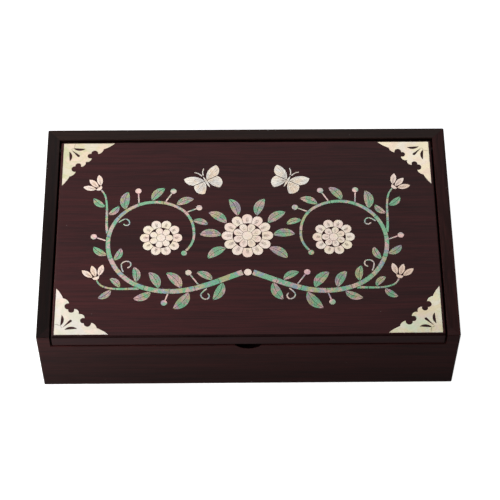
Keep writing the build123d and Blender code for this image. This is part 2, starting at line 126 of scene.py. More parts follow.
# %% [markdown]
# ## Helpers for node trees
#
# Materials and geometry are both made of node trees. They could be drawn by hand in the node
# editor, but a script can be read, repeated and changed in one place. So that a recipe reads like
# the sum that it does, what a node puts out is wrapped in a small class: a plus or a times sign
# between two such values adds the node that works it out.

# %% Values that nodes put out
class Value:
    """One output of a node. Sums with it add the nodes that do them."""

    def __init__(self, wires, socket):
        self.wires, self.socket = wires, socket

    def __add__(self, other):
        return self.wires.step("ADD", self, other)

    def __radd__(self, other):
        return self.wires.step("ADD", other, self)

    def __sub__(self, other):
        return self.wires.step("SUBTRACT", self, other)

    def __rsub__(self, other):
        return self.wires.step("SUBTRACT", other, self)

    def __mul__(self, other):
        return self.wires.step("MULTIPLY", self, other)

    def __rmul__(self, other):
        return self.wires.step("MULTIPLY", other, self)

    def __truediv__(self, other):
        return self.wires.step("DIVIDE", self, other)

    def __abs__(self):
        return self.wires.step("ABSOLUTE", self)


class Step:
    """One node, whose outputs are read by name or by number."""

    def __init__(self, wires, node):
        self.wires, self.node = wires, node

    def __getitem__(self, name):
        return Value(self.wires, self.node.outputs[name])


def has_parts(value):
    """Whether a value is a place or a colour, which has three parts, and not one number."""
    if isinstance(value, Value):
        return value.socket.type in ("VECTOR", "RGBA")
    return not isinstance(value, (int, float))


print("a value can be added, subtracted, multiplied and divided")

# %% [markdown]
# The wiring itself is one more class. Each of its functions adds a node and joins every input to
# a plain number, a colour or an earlier value. Noise, a smooth span from one level to another and
# a mix of two colours are needed in nearly every recipe, so they have short names of their own.

# %% A helper that wires nodes
MIX_SHARE, MIX_FIRST, MIX_SECOND, MIX_RESULT = 0, 6, 7, 2
RANDOM_LOW, RANDOM_HIGH, RANDOM_RESULT = 2, 3, 1


class Wiring:
    """Adds nodes to one tree and joins each input to a number or to an earlier value."""

    def __init__(self, tree):
        self.tree = tree

    def feed(self, socket, value):
        """Fills one input; a colour needs no fourth part, and one number can stand for three."""
        if isinstance(value, Value):
            self.tree.links.new(value.socket, socket)
        elif socket.type == "RGBA":
            socket.default_value = (*value[:3], 1.0)
        elif socket.type == "VECTOR" and not has_parts(value):
            socket.default_value = (value,) * 3
        else:
            socket.default_value = value

    def node(self, kind, inputs=None, **settings):
        """Adds a node, with its settings first, because they can change which inputs it has."""
        made = self.tree.nodes.new(kind)
        for name, value in settings.items():
            setattr(made, name, value)
        for name, value in (inputs or {}).items():
            self.feed(made.inputs[name], value)
        return Step(self, made)

    def step(self, operation, *values, clamp=False):
        """One step of arithmetic, done part by part where a value is a place or a colour."""
        if any(has_parts(value) for value in values):
            made = self.tree.nodes.new("ShaderNodeVectorMath")
        else:
            made = self.tree.nodes.new("ShaderNodeMath")
            made.use_clamp = clamp
        made.operation = operation
        for socket, value in zip(made.inputs, values):
            self.feed(socket, value)
        return Value(self, made.outputs[0])

    def mix(self, share, first, second):
        """The first colour, with a share of the second in it."""
        inputs = {MIX_SHARE: share, MIX_FIRST: first, MIX_SECOND: second}
        return self.node("ShaderNodeMix", inputs, data_type="RGBA")[MIX_RESULT]

    def span(self, value, low, high, to_low=0.0, to_high=1.0):
        """Spreads a value between two levels smoothly from one number to another."""
        inputs = {"Value": value, "From Min": low, "From Max": high, "To Min": to_low, "To Max": to_high}
        return self.node("ShaderNodeMapRange", inputs, interpolation_type="SMOOTHSTEP")["Result"]

    def noise(self, place, scale=1.0, detail=2.0, rough=0.5, warp=0.0):
        """Smooth noise between 0 and 1."""
        inputs = {"Vector": place, "Scale": scale, "Detail": detail, "Roughness": rough, "Distortion": warp}
        return self.node("ShaderNodeTexNoise", inputs)["Fac"]

    def waver(self, place, scale, detail):
        """Noise with three parts, which makes lines that are laid by it waver."""
        return self.node("ShaderNodeTexNoise", {"Vector": place, "Scale": scale, "Detail": detail})["Color"]

    def parts(self, place):
        """The X, Y and Z of a place."""
        return self.node("ShaderNodeSeparateXYZ", {"Vector": place})

    def place(self, **parts):
        """A place from its X, Y and Z; a part that isn't given is nought."""
        return self.node("ShaderNodeCombineXYZ", parts)["Vector"]

    def group(self, tree, **values):
        """Places a shader group and fills in its inputs."""
        inputs = {name.replace("_", " "): value for name, value in values.items()}
        return self.node("ShaderNodeGroup", inputs, node_tree=tree)

    def give(self, **results):
        """Ends a group: joins its results to its outputs."""
        end = self.tree.nodes.new("NodeGroupOutput")
        for name, value in results.items():
            self.feed(end.inputs[name], value)


print("the wiring knows", sorted(name for name in vars(Wiring) if not name.startswith("_")))

# %% A helper that starts a node group
KINDS = {
    "place": "NodeSocketVector",
    "colour": "NodeSocketColor",
    "number": "NodeSocketFloat",
    "count": "NodeSocketInt",
    "shape": "NodeSocketGeometry",
    "object": "NodeSocketObject",
    "finish": "NodeSocketMaterial",
}


def new_group(name, tree_kind, inputs, outputs):
    """The wiring and the start of an empty group; its sockets are pairs of a name and a kind."""
    tree = bpy.data.node_groups.new(name, tree_kind)
    for title, kind in inputs:
        tree.interface.new_socket(title, in_out="INPUT", socket_type=KINDS[kind])
    for title, kind in outputs:
        tree.interface.new_socket(title, in_out="OUTPUT", socket_type=KINDS[kind])
    w = Wiring(tree)
    return w, w.node("NodeGroupInput")


print("a group's sockets can be", sorted(KINDS))

# %% [markdown]
# ## Grain under lacquer
#
# The boards are dark red-brown, with fine streaks that run the length of each board, broader
# darker bands between them and short pores. A picture of wood could be wrapped round them, but it
# would repeat and blur close up. Noise that is stretched along the grain does all three, at any
# size. Making it once as a group lets each board turn and tint it in its own way.

# %% The group for sawn grain
GRAIN_WAVER = 0.006
PORE_DEPTH = 0.5


def grain_group():
    """Streaks, bands and pores along whichever axis the stretch leaves long."""
    w, start = new_group(
        "Sawn grain",
        "ShaderNodeTree",
        [("Place", "place"), ("Stretch", "place"), ("Dark", "colour"), ("Light", "colour")],
        [("Colour", "colour"), ("Streak", "number"), ("Pore", "number")],
    )
    bent = start["Place"] + (w.waver(start["Place"], scale=9.0, detail=2.0) - 0.5) * GRAIN_WAVER
    along = bent * start["Stretch"]
    fine = w.noise(along, detail=5.0, rough=0.62)
    broad = w.noise(along * (0.4, 0.16, 0.16) + (3.1, 7.7, 1.9), detail=3.0, rough=0.55)
    hair = w.noise(along * (1.6, 4.2, 4.2) + (9.3, 2.2, 5.4), detail=2.0, rough=0.6)
    streak = w.span(fine * 0.44 + broad * 0.24 + hair * 0.32, 0.36, 0.64)
    pores = w.noise(along * (6.0, 6.5, 6.5) + (1.7, 4.9, 8.8), detail=1.0, rough=0.4)
    pore = w.span(pores, 0.60, 0.72) * PORE_DEPTH
    colour = w.mix(streak, start["Dark"], start["Light"])
    w.give(Colour=w.mix(pore, colour, start["Dark"]), Streak=streak, Pore=pore)
    return w.tree


SAWN_GRAIN = grain_group()
print("made", SAWN_GRAIN.name)

# %% [markdown]
# ## Rubbed and highlit edges
#
# Lacquer thins on an arris where hands and cloths pass, and a rounded arris catches a thin highlight. A
# lighter tone on the edges stands for both: the wear, and a painted highlight. Blender's pointiness could
# find the edges, but it needs a dense mesh, and these boards have few points. Each board is close to a
# plain box, so the distance to its nearest edges can be worked out from its centre and its half size: of
# the three distances to its faces, the middle one is small only near an edge.

# %% The group for rubbed and highlit edges
EDGE_WIDTH = 0.0022
PATCHINESS = 0.65


def edge_group():
    """A mask that is strong on the edges of a box and fades within the edge width."""
    w, start = new_group(
        "Rubbed edge",
        "ShaderNodeTree",
        [("Place", "place"), ("Centre", "place"), ("Half size", "place")],
        [("Mask", "number")],
    )
    depth = w.parts(start["Half size"] - abs(start["Place"] - start["Centre"]))
    low = w.step("MINIMUM", depth["X"], depth["Y"])
    high = w.step("MAXIMUM", depth["X"], depth["Y"])
    middle = w.step("MAXIMUM", low, w.step("MINIMUM", high, depth["Z"]))
    fade = w.span(middle / EDGE_WIDTH, 0.0, 1.0, 1.0, 0.0)
    patchy = w.span(w.noise(start["Place"], scale=55.0, detail=3.0, rough=0.6), 0.38, 0.66)
    w.give(Mask=fade * (1.0 - (1.0 - patchy) * PATCHINESS))
    return w.tree


WORN_AND_HIGHLIT_EDGE = edge_group()
print("made", WORN_AND_HIGHLIT_EDGE.name)

# %% [markdown]
# ## Handling
#
# A box that is used shows soft patches where hands polished or dulled it, and small specks of
# dust. Patches are slow noise. Specks could be fine noise too, but that makes clouds of them, so
# they are round spots round the points of a Voronoi pattern, of which only a few are chosen.

# %% The group for handling
SPECKS_PER_METRE = 130.0
SPECK_SHARE = 0.02


def handling_group():
    """Soft patches where the surface was touched, and small specks of dust."""
    w, start = new_group(
        "Handling", "ShaderNodeTree", [("Place", "place")], [("Patch", "number"), ("Speck", "number")]
    )
    clouds = w.noise(start["Place"], scale=14.0, detail=4.0, rough=0.6, warp=0.4)
    cells = w.node("ShaderNodeTexVoronoi", {"Vector": start["Place"], "Scale": SPECKS_PER_METRE})
    near = w.span(cells["Distance"], 0.02, 0.07, 1.0, 0.0)
    pick = w.node("ShaderNodeTexWhiteNoise", {"Vector": cells["Position"]})["Value"]
    speck = near * w.step("LESS_THAN", pick, SPECK_SHARE)
    w.give(Patch=w.span(clouds, 0.42, 0.68), Speck=speck)
    return w.tree


HANDLING = handling_group()
print("made", HANDLING.name)

# %% [markdown]
# ## A place of its own
#
# A few places of the lacquer differ from the board round them, such as the finger notch. They
# could be given a second material, but the meshes of the boards have no faces to part it by. A
# mask that is one within a small box, and nothing outside it, picks out such a place exactly.

# %% The group for what lies within a box
BOX_RIM = 0.985


def box_group():
    """A mask that is one within a box and nothing outside it."""
    w, start = new_group(
        "Within a box",
        "ShaderNodeTree",
        [("Place", "place"), ("Centre", "place"), ("Half size", "place")],
        [("Mask", "number")],
    )
    out = w.parts(abs(start["Place"] - start["Centre"]) / start["Half size"])
    reach = w.step("MAXIMUM", w.step("MAXIMUM", out["X"], out["Y"]), out["Z"])
    w.give(Mask=w.span(reach, BOX_RIM, 1.0, 1.0, 0.0))
    return w.tree


WITHIN_BOX = box_group()
print("made", WITHIN_BOX.name)

# %% [markdown]
# ## Starting and completing a finish
#
# Every material here is a Principled shader. Its colour, roughness and bump come from the
# wiring, while what is the same all over the surface is typed into the shader itself, because
# only then does an exported model keep it. Patterns are laid by Object coordinates: they are the
# box's own metres, so a pattern keeps its size and doesn't slide when the lid opens.

# %% Helpers for materials
def new_finish(name):
    """A material, its wiring and the Object coordinates that its patterns are laid by."""
    finish = bpy.data.materials.new(name)
    finish.use_nodes = True
    w = Wiring(finish.node_tree)
    return finish, w, w.node("ShaderNodeTexCoord")["Object"]


def completed(finish, w, colour, rough, bump=None, **others):
    """Feeds the shader of a material; bump is its strength, its distance in metres and its height."""
    inputs = {"Base_Color": colour, "Roughness": rough, **others}
    if bump:
        strength, distance, height = bump
        made = w.node("ShaderNodeBump", {"Strength": strength, "Distance": distance, "Height": height})
        inputs["Normal"] = made["Normal"]
    shader = finish.node_tree.nodes["Principled BSDF"]
    for name, value in inputs.items():
        w.feed(shader.inputs[name.replace("_", " ")], value)
    return finish


print("a finish starts with a colour, a roughness and often a bump")

# %% [markdown]
# ## Lacquered boards
#
# The real boards are wood under a satin lacquer: the grain shows in the depth, and the coat shines over it.
# The shader's own coat does the same, a clear layer with a weight and a roughness of its own. Each board
# reflects another part of the room, so each has its own shine and its own tones. The tones are set lighter
# or darker as painted light and shade for how the light falls on each board. On the front board and the
# left side, painted shade also makes the lacquer darker and duller towards one end.

# %% Tones of the boards
# Besides the wood's own colour, these tones paint the light and shade of each board: the left side is made
# darkest and the lid lightest.
LID_TONES = ((0.0190, 0.0042, 0.0050), (0.0480, 0.0085, 0.0094))
FRONT_TONES = ((0.0175, 0.0048, 0.0046), (0.0470, 0.0102, 0.0098))
BACK_TONES = ((0.0085, 0.0040, 0.0030), (0.0220, 0.0085, 0.0062))
LEFT_TONES = ((0.0050, 0.0021, 0.0018), (0.0140, 0.0046, 0.0038))
RIGHT_TONES = ((0.0145, 0.0042, 0.0040), (0.0390, 0.0100, 0.0095))
# A lighter edge tone: rubbed wear and a painted highlight on the arris.
WORN_AND_HIGHLIGHT_TONE = (0.045, 0.022, 0.018)
SPECK_TONE = (0.25, 0.22, 0.2)
ALONG_X = (8.0, 330.0, 330.0)
ALONG_Y = (330.0, 8.0, 330.0)
print("each board has a ground tone and a streak tone, such as", LID_TONES)

# %% The lacquer of one board
LACQUER_ROUGHNESS = 0.37
LACQUER_INDEX = 1.5


def lacquered(node, tones, stretch, shine, rub_and_highlight, fade=None, spots=()):
    """Satin lacquer over dark streaked wood, fitted to one board.

    The fade gives an axis, where along it the lacquer is darkened and dulled as painted shade and where it
    is clear, and how dark and dull.
    A spot gives the middle and half size of a box, and what the tone and the shine are within it; on the
    lid's front edge and in the finger notch the tone is painted shade.
    """
    finish, w, place = new_finish(node + "_lacquer")
    low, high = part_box(node)
    grain = w.group(SAWN_GRAIN, Place=place, Stretch=stretch, Dark=tones[0], Light=tones[1])
    worn = w.group(WORN_AND_HIGHLIT_EDGE, Place=place, Centre=(low + high) / 2, Half_size=(high - low) / 2)["Mask"]
    touch = w.group(HANDLING, Place=place)
    # The edge mask lightens the colour, as rubbed wear and a painted highlight; it also dulls the coat.
    rubbed = worn * rub_and_highlight
    colour = w.mix(rubbed, grain["Colour"], WORN_AND_HIGHLIGHT_TONE)
    colour = w.mix(touch["Speck"] * 0.5, colour, SPECK_TONE)
    shade_and_tone_level = 1.0
    # The fade paints shade: colour and coat fall off towards one end of the board.
    if fade:
        axis, shaded_end, unshaded_end, shade_depth = fade
        shade_and_tone_level = w.span(w.parts(place)[axis], shaded_end, unshaded_end, shade_depth, 1.0)
    shine_level = shade_and_tone_level * ((1.0 - rubbed * 0.85) * (2.4 * shine))
    for spot_middle, spot_half, shade_and_tone_there, shine_there in spots:
        within = w.group(WITHIN_BOX, Place=place, Centre=spot_middle, Half_size=spot_half)["Mask"]
        shade_and_tone_level = shade_and_tone_level * (within * (shade_and_tone_there - 1.0) + 1.0)
        shine_level = shine_level * (within * (shine_there - 1.0) + 1.0)
    rough = LACQUER_ROUGHNESS + touch["Patch"] * 0.07 + worn * 0.10 - grain["Streak"] * 0.04
    height = w.noise(place, scale=95.0) * 0.5 - grain["Pore"] * 0.5
    return completed(
        finish, w, colour * shade_and_tone_level, rough, bump=(0.35, 0.00006, height),
        Coat_Weight=w.step("SUBTRACT", shine_level, shine, clamp=True),
        Coat_Roughness=LACQUER_ROUGHNESS, Coat_IOR=LACQUER_INDEX, Specular_IOR_Level=0.5 * shine,
    )


print("lacquer has roughness", LACQUER_ROUGHNESS)

# %% [markdown]
# ## Painted shade and other places where a board differs
#
# The lid's front edge shines more than its face, and its colour there is darkened as painted shade. The
# arris above it is a dark line. The finger notch is darkened as a painted shadow, and its coat is worn dull
# by fingers. At the top of the two front corners, where the boards are joined, the colour is darker and the
# shine less. Painting these by hand would tie them to one mesh, so each is a small box, placed from the
# boards' own corners, with its tone and its shine.

# %% Places with painted shade and places with a tone of their own
FRONT_LOW, FRONT_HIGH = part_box("front_board")
LID_LOW, LID_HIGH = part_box("lid_panel")
PAST_THE_LID = 0.25
ARRIS_DROP = 0.0012
# Painted shade: the lid's front edge is darkened, and its coat is stronger.
LID_FRONT_EDGE_SHADE = (
    Vector((0.0, LID_LOW.y, (LID_LOW.z + LID_HIGH.z) / 2)),
    Vector((PAST_THE_LID, 0.0012, (LID_HIGH.z - LID_LOW.z) / 2 - ARRIS_DROP)),
    0.75,
    1.7,
)
LID_FRONT_ARRIS = (
    Vector((0.0, LID_LOW.y + 0.0008, LID_HIGH.z - 0.0003)),
    Vector((PAST_THE_LID, 0.0014, 0.0011)),
    0.30,
    0.40,
)
# Painted shadow: the finger notch is darkened, and its coat is dulled.
FINGER_NOTCH_SHADOW = (
    Vector((0.0, FRONT_LOW.y + 0.0064, LID_LOW.z)),
    Vector((0.013, 0.0062, 0.0075)),
    0.10,
    0.25,
)
CORNER_TOP = Vector((0.0125, 0.0125, 0.0012))
CORNER_IN, CORNER_BACK = 0.006, 0.0128
LEFT_CORNER_TOP = (
    Vector((FRONT_LOW.x + CORNER_IN, FRONT_LOW.y + CORNER_BACK, FRONT_HIGH.z)),
    CORNER_TOP,
    0.30,
    0.50,
)
RIGHT_CORNER_TOP = (
    Vector((FRONT_HIGH.x - CORNER_IN, FRONT_LOW.y + CORNER_BACK, FRONT_HIGH.z)),
    CORNER_TOP,
    0.65,
    0.85,
)
LID_SPOTS = (LID_FRONT_EDGE_SHADE, LID_FRONT_ARRIS)
FRONT_SPOTS = (FINGER_NOTCH_SHADOW, LEFT_CORNER_TOP, RIGHT_CORNER_TOP)
print("spots on the lid:", len(LID_SPOTS), "and on the front board:", len(FRONT_SPOTS))

# %% Lacquer the five boards
# Painted shade: the front board darkens and dulls towards its foot, the left side towards its front.
FRONT_SHADE_FADE = ("Z", 0.0, 0.078, 0.62)
LEFT_SHADE_FADE = ("Y", -0.04, 0.11, 0.56)
BOARD_FINISHES = {
    node: lacquered(node, *values)
    for node, values in {
        "lid_panel": (LID_TONES, ALONG_X, 0.15, 0.5, None, LID_SPOTS),
        "front_board": (FRONT_TONES, ALONG_X, 0.15, 0.2, FRONT_SHADE_FADE, FRONT_SPOTS),
        "back_board": (BACK_TONES, ALONG_X, 0.12, 0.2),
        "left_side_board": (LEFT_TONES, ALONG_Y, 0.115, 0.35, LEFT_SHADE_FADE),
        "right_side_board": (RIGHT_TONES, ALONG_Y, 0.08, 0.1),
    }.items()
}
print("lacquered", sorted(BOARD_FINISHES))

# %% [markdown]
# ## Plain wood
#
# The bottom panel gets one thin coat, and the tongues in the corners none, so they show sawn wood.
# The lacquer's recipe would shine too much there. The grain group does for both, with tones of
# their own, a rougher surface and a bump that follows the streaks.

# %% Plain wood and the bottom panel
def plain_wood(name, ground, streak, rough_base):
    """Sawn wood with little or no lacquer on it, for what is hidden or underneath."""
    finish, w, place = new_finish(name)
    grain = w.group(SAWN_GRAIN, Place=place, Stretch=ALONG_X, Dark=ground, Light=streak)
    rough = rough_base + w.group(HANDLING, Place=place)["Patch"] * 0.12
    height = grain["Streak"] - grain["Pore"]
    return completed(finish, w, grain["Colour"], rough, bump=(0.4, 0.00012, height))


PANEL_FINISH = plain_wood("panel_lacquer", (0.006, 0.003, 0.003), (0.024, 0.009, 0.008), 0.5)
TONGUE_FINISH = plain_wood("tongue_wood", (0.22, 0.12, 0.06), (0.50, 0.33, 0.19), 0.7)
print("made", PANEL_FINISH.name, "and", TONGUE_FINISH.name)

# %% [markdown]
# ## Mother-of-pearl
#
# Shell is built of thin layers, and where they come to the surface their colour drifts from cream to green,
# rose and blue in soft patches with fine growth lines across them. Thin-film shading could make the colours
# change with the view, but it isn't used here. So a group lays three drifting masks over a ground colour.
# Each kind of plate then has its own tints: pale for the corners and the wings, rose for the flowers, and
# strong sea colours for stems and leaves.

# %% The group for shell
LAYERS = ("First", "Second", "Third")
LAYER_SHIFT = (0.37, 0.81, 0.13)
GROWTH_LINES = (520.0, 1500.0, 520.0)
GROWTH_WAVER = 0.008


def shell_group():
    """Soft patches of three tints over a ground colour, and a fine silky grain."""
    w, start = new_group(
        "Shell layers",
        "ShaderNodeTree",
        [
            ("Place", "place"),
            ("Patch scale", "number"),
            ("Seed", "place"),
            ("Ground", "colour"),
            *((f"{layer} tint", "colour") for layer in LAYERS),
            *((f"{layer} share", "number") for layer in LAYERS),
            ("Line depth", "number"),
        ],
        [("Colour", "colour"), ("Line", "number"), ("Patch", "number")],
    )
    place = start["Place"] + start["Seed"]
    colour = start["Ground"]
    masks = []
    for order, layer in enumerate(LAYERS):
        moved = place + [order * part for part in LAYER_SHIFT]
        drift = w.noise(moved, scale=start["Patch scale"], detail=4.0, rough=0.62, warp=0.8)
        masks.append(w.span(drift, 0.45, 0.58) * start[f"{layer} share"])
        colour = w.mix(masks[-1], colour, start[f"{layer} tint"])
    bent = place + w.waver(place, scale=120.0, detail=1.0) * GROWTH_WAVER
    silk = w.span(w.noise(bent * GROWTH_LINES, detail=3.0, rough=0.6), 0.30, 0.72)
    w.give(Colour=colour * (1.0 - silk * start["Line depth"]), Line=silk, Patch=masks[0])
    return w.tree


SHELL_LAYERS = shell_group()
print("made", SHELL_LAYERS.name)

# %% [markdown]
# Plates that were sawn from one shell look alike, and plates from another differ. The petals of a
# flower are all in one node, so they can't have a material each. A second group numbers them, from
# the angle round the flower's middle and from which ring they are in, and draws a number for each.
# The flower's finish uses it to jump to another place in the pattern from petal to petal. The left
# rosette mirrors the right one, which turns its seven inner petals by half a petal, so there the
# jump falls on the middle of a petal.

# %% The group that tells petals apart
INNER_RING_NUMBERS = 40.0


def petal_group():
    """A number for each petal of a rosette; the inner ring counts on from 40, so none is shared."""
    w, start = new_group(
        "Petal by petal",
        "ShaderNodeTree",
        [
            ("Place", "place"),
            ("Middle", "place"),
            ("Outer petals", "number"),
            ("Inner petals", "number"),
            ("Ring edge", "number"),
        ],
        [("Pick", "number")],
    )
    out = w.parts(start["Place"] - start["Middle"])
    turn = w.step("ARCTAN2", out["Y"], out["X"]) / math.tau + 1.0
    reach = w.step("SQRT", out["X"] * out["X"] + out["Y"] * out["Y"])
    outside = w.step("GREATER_THAN", reach, start["Ring edge"])
    outer = w.step("ROUND", turn * start["Outer petals"])
    outer = w.step("MODULO", outer, start["Outer petals"])
    inner = w.step("FLOOR", turn * start["Inner petals"])
    inner = w.step("MODULO", inner, start["Inner petals"]) + INNER_RING_NUMBERS
    number = outer * outside + inner * (1.0 - outside)
    w.give(Pick=w.node("ShaderNodeTexWhiteNoise", {"W": number}, noise_dimensions="1D")["Value"])
    return w.tree


PETAL_BY_PETAL = petal_group()
print("made", PETAL_BY_PETAL.name)

# %% [markdown]
# Each rosette has two rings of petals round an eye. Its measures could be read from the plates,
# but they are few, and they are needed twice: here for the tint of each petal, and further down
# for the cuts that fan out on it. So one small class keeps them.

# %% Measures of the three rosettes
class Rosette:
    """A flower: its middle, the petals of its rings, and its radii to tip, to inner ring and to eye."""

    def __init__(self, aside, outer_petals, inner_petals, radius, split, eye):
        self.middle = Vector(((LID_LOW.x + LID_HIGH.x) / 2, (LID_LOW.y + LID_HIGH.y) / 2, 0.0))
        self.middle += Vector((*aside, 0.0))
        self.outer_petals, self.inner_petals = outer_petals, inner_petals
        self.radius, self.split, self.eye = radius, split, eye


ROSETTES = {
    "middle": Rosette((0.0, 0.0), 12, 8, 0.0250, 0.0145, 0.0054),
    "left": Rosette((-0.084, -0.002), 10, 7, 0.0205, 0.0119, 0.0046),
    "right": Rosette((0.084, -0.002), 10, 7, 0.0205, 0.0119, 0.0046),
}
for rosette_name, rosette in ROSETTES.items():
    print(rosette_name, "rosette has its middle in mm at", in_mm(rosette.middle))

# %% [markdown]
# ## The finish of one kind of shell
#
# Polished shell shines in two ways: the surface reflects as glass does, and the layers below it
# throw back a soft light of the shell's own colour. A coat does the first and a partly metallic
# base the second. Full metal would go black where the room is dark, so only a part is metallic,
# and more of it in the ornaments at the right, where less light falls.

# %% Tints of the shell
CREAM = (0.92, 0.84, 0.58)
HONEY = (1.00, 0.87, 0.50)
PALE_GREEN = (0.76, 0.98, 0.68)
PALE_ROSE = (0.98, 0.71, 0.62)
PEACH = (0.90, 0.66, 0.44)
SEA_GREEN = (0.13, 0.52, 0.27)
SKY = (0.20, 0.36, 0.52)
LILAC = (0.36, 0.27, 0.46)
ORCHID = (0.80, 0.46, 0.46)
OLIVE = (0.44, 0.47, 0.20)
WHITE_PEARL = (0.92, 0.90, 0.84)
GREY_PEARL = (0.78, 0.75, 0.74)
COAT_TINT = (1.0, 0.97, 0.95)
SOFT_LINES = 0.12
LUSTRE = 0.35
PETAL_JUMP = 3.0
RING_OVERLAP = 0.0002
print("the leaves drift from", OLIVE, "to", SEA_GREEN)


# %% Polished shell
def pearly(name, recipe, seed, rosette=None, line_depth=SOFT_LINES, lustre=LUSTRE):
    """Polished shell; the recipe is a ground, three tints, their shares and the scale of the patches."""
    finish, w, place = new_finish(name)
    ground, tints, shares, patch_scale = recipe
    source = place
    if rosette:
        petals = w.group(
            PETAL_BY_PETAL, Place=place, Middle=rosette.middle, Outer_petals=rosette.outer_petals,
            Inner_petals=rosette.inner_petals, Ring_edge=rosette.split - RING_OVERLAP,
        )
        jump = petals["Pick"] * PETAL_JUMP
        source = place + w.place(X=jump, Y=jump)
    mixture = {f"{layer}_tint": tint for layer, tint in zip(LAYERS, tints)}
    mixture.update({f"{layer}_share": share for layer, share in zip(LAYERS, shares)})
    layers = w.group(
        SHELL_LAYERS, Place=source, Patch_scale=patch_scale, Seed=seed, Ground=ground,
        Line_depth=line_depth, **mixture,
    )
    return completed(
        finish, w, layers["Colour"], 0.22 + layers["Patch"] * 0.08,
        bump=(0.25, 0.00003, layers["Line"]),
        Metallic=lustre, Specular_IOR_Level=0.9, Coat_Weight=0.9, Coat_Roughness=0.16, Coat_Tint=COAT_TINT,
    )


print("shell has three layers of tint:", LAYERS)

# %% [markdown]
# Now each group of plates gets its shell. The left and the right half of the picture are sawn to the same
# lines but not from the same shell, so each side has its own place in the pattern. The four corner
# ornaments differ so much that each has a recipe of its own. The grounds of the two at the right are also
# paler, as painted light, because less lamp light falls there.

# %% Recipes for the shell
FLOWER_TINTS = (PALE_ROSE, CREAM, WHITE_PEARL)
CORNER_TINTS = (PALE_ROSE, SEA_GREEN, GREY_PEARL)
CORNER_PATCHES = 48.0
MIDDLE_FLOWER_SHELL = ((0.94, 0.76, 0.66), FLOWER_TINTS, (0.75, 0.55, 0.35), 55.0)
SIDE_SHELLS = {
    "flower": ((0.93, 0.80, 0.69), FLOWER_TINTS, (0.70, 0.60, 0.35), 60.0),
    "buds": ((0.92, 0.74, 0.64), (PALE_ROSE, PEACH, WHITE_PEARL), (0.7, 0.5, 0.4), 90.0),
    "vine": (OLIVE, (SKY, ORCHID, SEA_GREEN), (0.85, 0.80, 0.90), 115.0),
    "leaves": (OLIVE, (LILAC, ORCHID, SEA_GREEN), (0.80, 0.75, 0.92), 95.0),
    "berries": (ORCHID, (LILAC, SEA_GREEN, PALE_ROSE), (0.8, 0.7, 0.7), 80.0),
    "tendrils": ((0.70, 0.58, 0.50), (PALE_ROSE, SEA_GREEN, SKY), (0.6, 0.7, 0.5), 120.0),
    "butterfly": ((0.95, 0.89, 0.76), (PEACH, WHITE_PEARL, SKY), (0.65, 0.6, 0.25), 85.0),
}
STRONG_LINES = {"vine": 0.35, "leaves": 0.35}
CORNER_LINES = 0.10
# The grounds of the two right-hand corners are paler as painted light, because less lamp light falls at the
# right.
CORNER_SHELLS = {
    ("rear", "left"): ((0.67, 0.62, 0.37), CORNER_TINTS, (0.50, 0.14, 0.30)),
    ("rear", "right"): ((0.98, 0.86, 0.61), (PALE_ROSE, SEA_GREEN, WHITE_PEARL), (0.45, 0.08, 0.45)),
    ("front", "left"): ((0.84, 0.77, 0.65), CORNER_TINTS, (0.40, 0.14, 0.55)),
    ("front", "right"): ((1.00, 0.98, 0.80), (PALE_ROSE, PALE_GREEN, HONEY), (0.55, 0.60, 0.60)),
}
CORNER_LUSTRE = {"left": 0.25, "right": 0.55}
print("recipes for", sorted(SIDE_SHELLS), "and", len(CORNER_SHELLS), "corners")


# %% Give each group of plates its shell
def shell_finishes():
    """The finish of each inlay node, by the node's name."""
    made = {
        "middle_flower_inlay": pearly(
            "middle_flower_shell", MIDDLE_FLOWER_SHELL, (0.2, 0.5, 0.0), ROSETTES["middle"]
        )
    }
    for order, hand in enumerate(("left", "right")):
        seed = (0.7 * order, 0.31 * order, 0.0)
        for plates, recipe in SIDE_SHELLS.items():
            rosette = ROSETTES[hand] if plates == "flower" else None
            depth = STRONG_LINES.get(plates, SOFT_LINES)
            made[f"{hand}_{plates}_inlay"] = pearly(f"{hand}_{plates}_shell", recipe, seed, rosette, depth)
        for row_order, row in enumerate(("front", "rear")):
            corner = f"{row}_{hand}_corner"
            recipe = (*CORNER_SHELLS[row, hand], CORNER_PATCHES)
            corner_seed = (0.9 * order + 0.2, 0.53 * row_order + 0.1, 0.0)
            made[f"{corner}_inlay"] = pearly(
                f"{corner}_shell", recipe, corner_seed, line_depth=CORNER_LINES, lustre=CORNER_LUSTRE[hand]
            )
    return made


SHELL_FINISHES = shell_finishes()
print("made", len(SHELL_FINISHES), "shell finishes")

# %% [markdown]
# ## Metal, rubber and nylon
#
# The lid turns on steel pins in brass bushes, with a nylon washer in each side slot, and the box
# stands on rubber feet. Turned metal keeps fine rings from the lathe. They could be cut into the
# mesh, but they are finer than a hair, so noise that is squeezed along the pins' axis makes them
# as bump. Rubber and nylon are dark and matt, with a moulded grain and a little bloom.

# %% Turned metal
LATHE_RINGS = (4200.0, 60.0, 60.0)


def turned_metal(name, colour, worn, rough_base):
    """Metal with fine rings from the lathe, which run round the pins' axis."""
    finish, w, place = new_finish(name)
    rings = w.noise(place * LATHE_RINGS, detail=3.0, rough=0.6)
    tone = w.mix(w.group(HANDLING, Place=place)["Patch"] * 0.6, colour, worn)
    rough = rough_base + rings * 0.15
    return completed(finish, w, tone, rough, bump=(0.3, 0.00002, rings), Metallic=1.0)


STEEL_FINISH = turned_metal("pin_steel", (0.56, 0.56, 0.57), (0.40, 0.39, 0.38), 0.24)
BRASS_FINISH = turned_metal("bush_brass", (0.74, 0.53, 0.24), (0.48, 0.32, 0.13), 0.26)
print("made", STEEL_FINISH.name, "and", BRASS_FINISH.name)


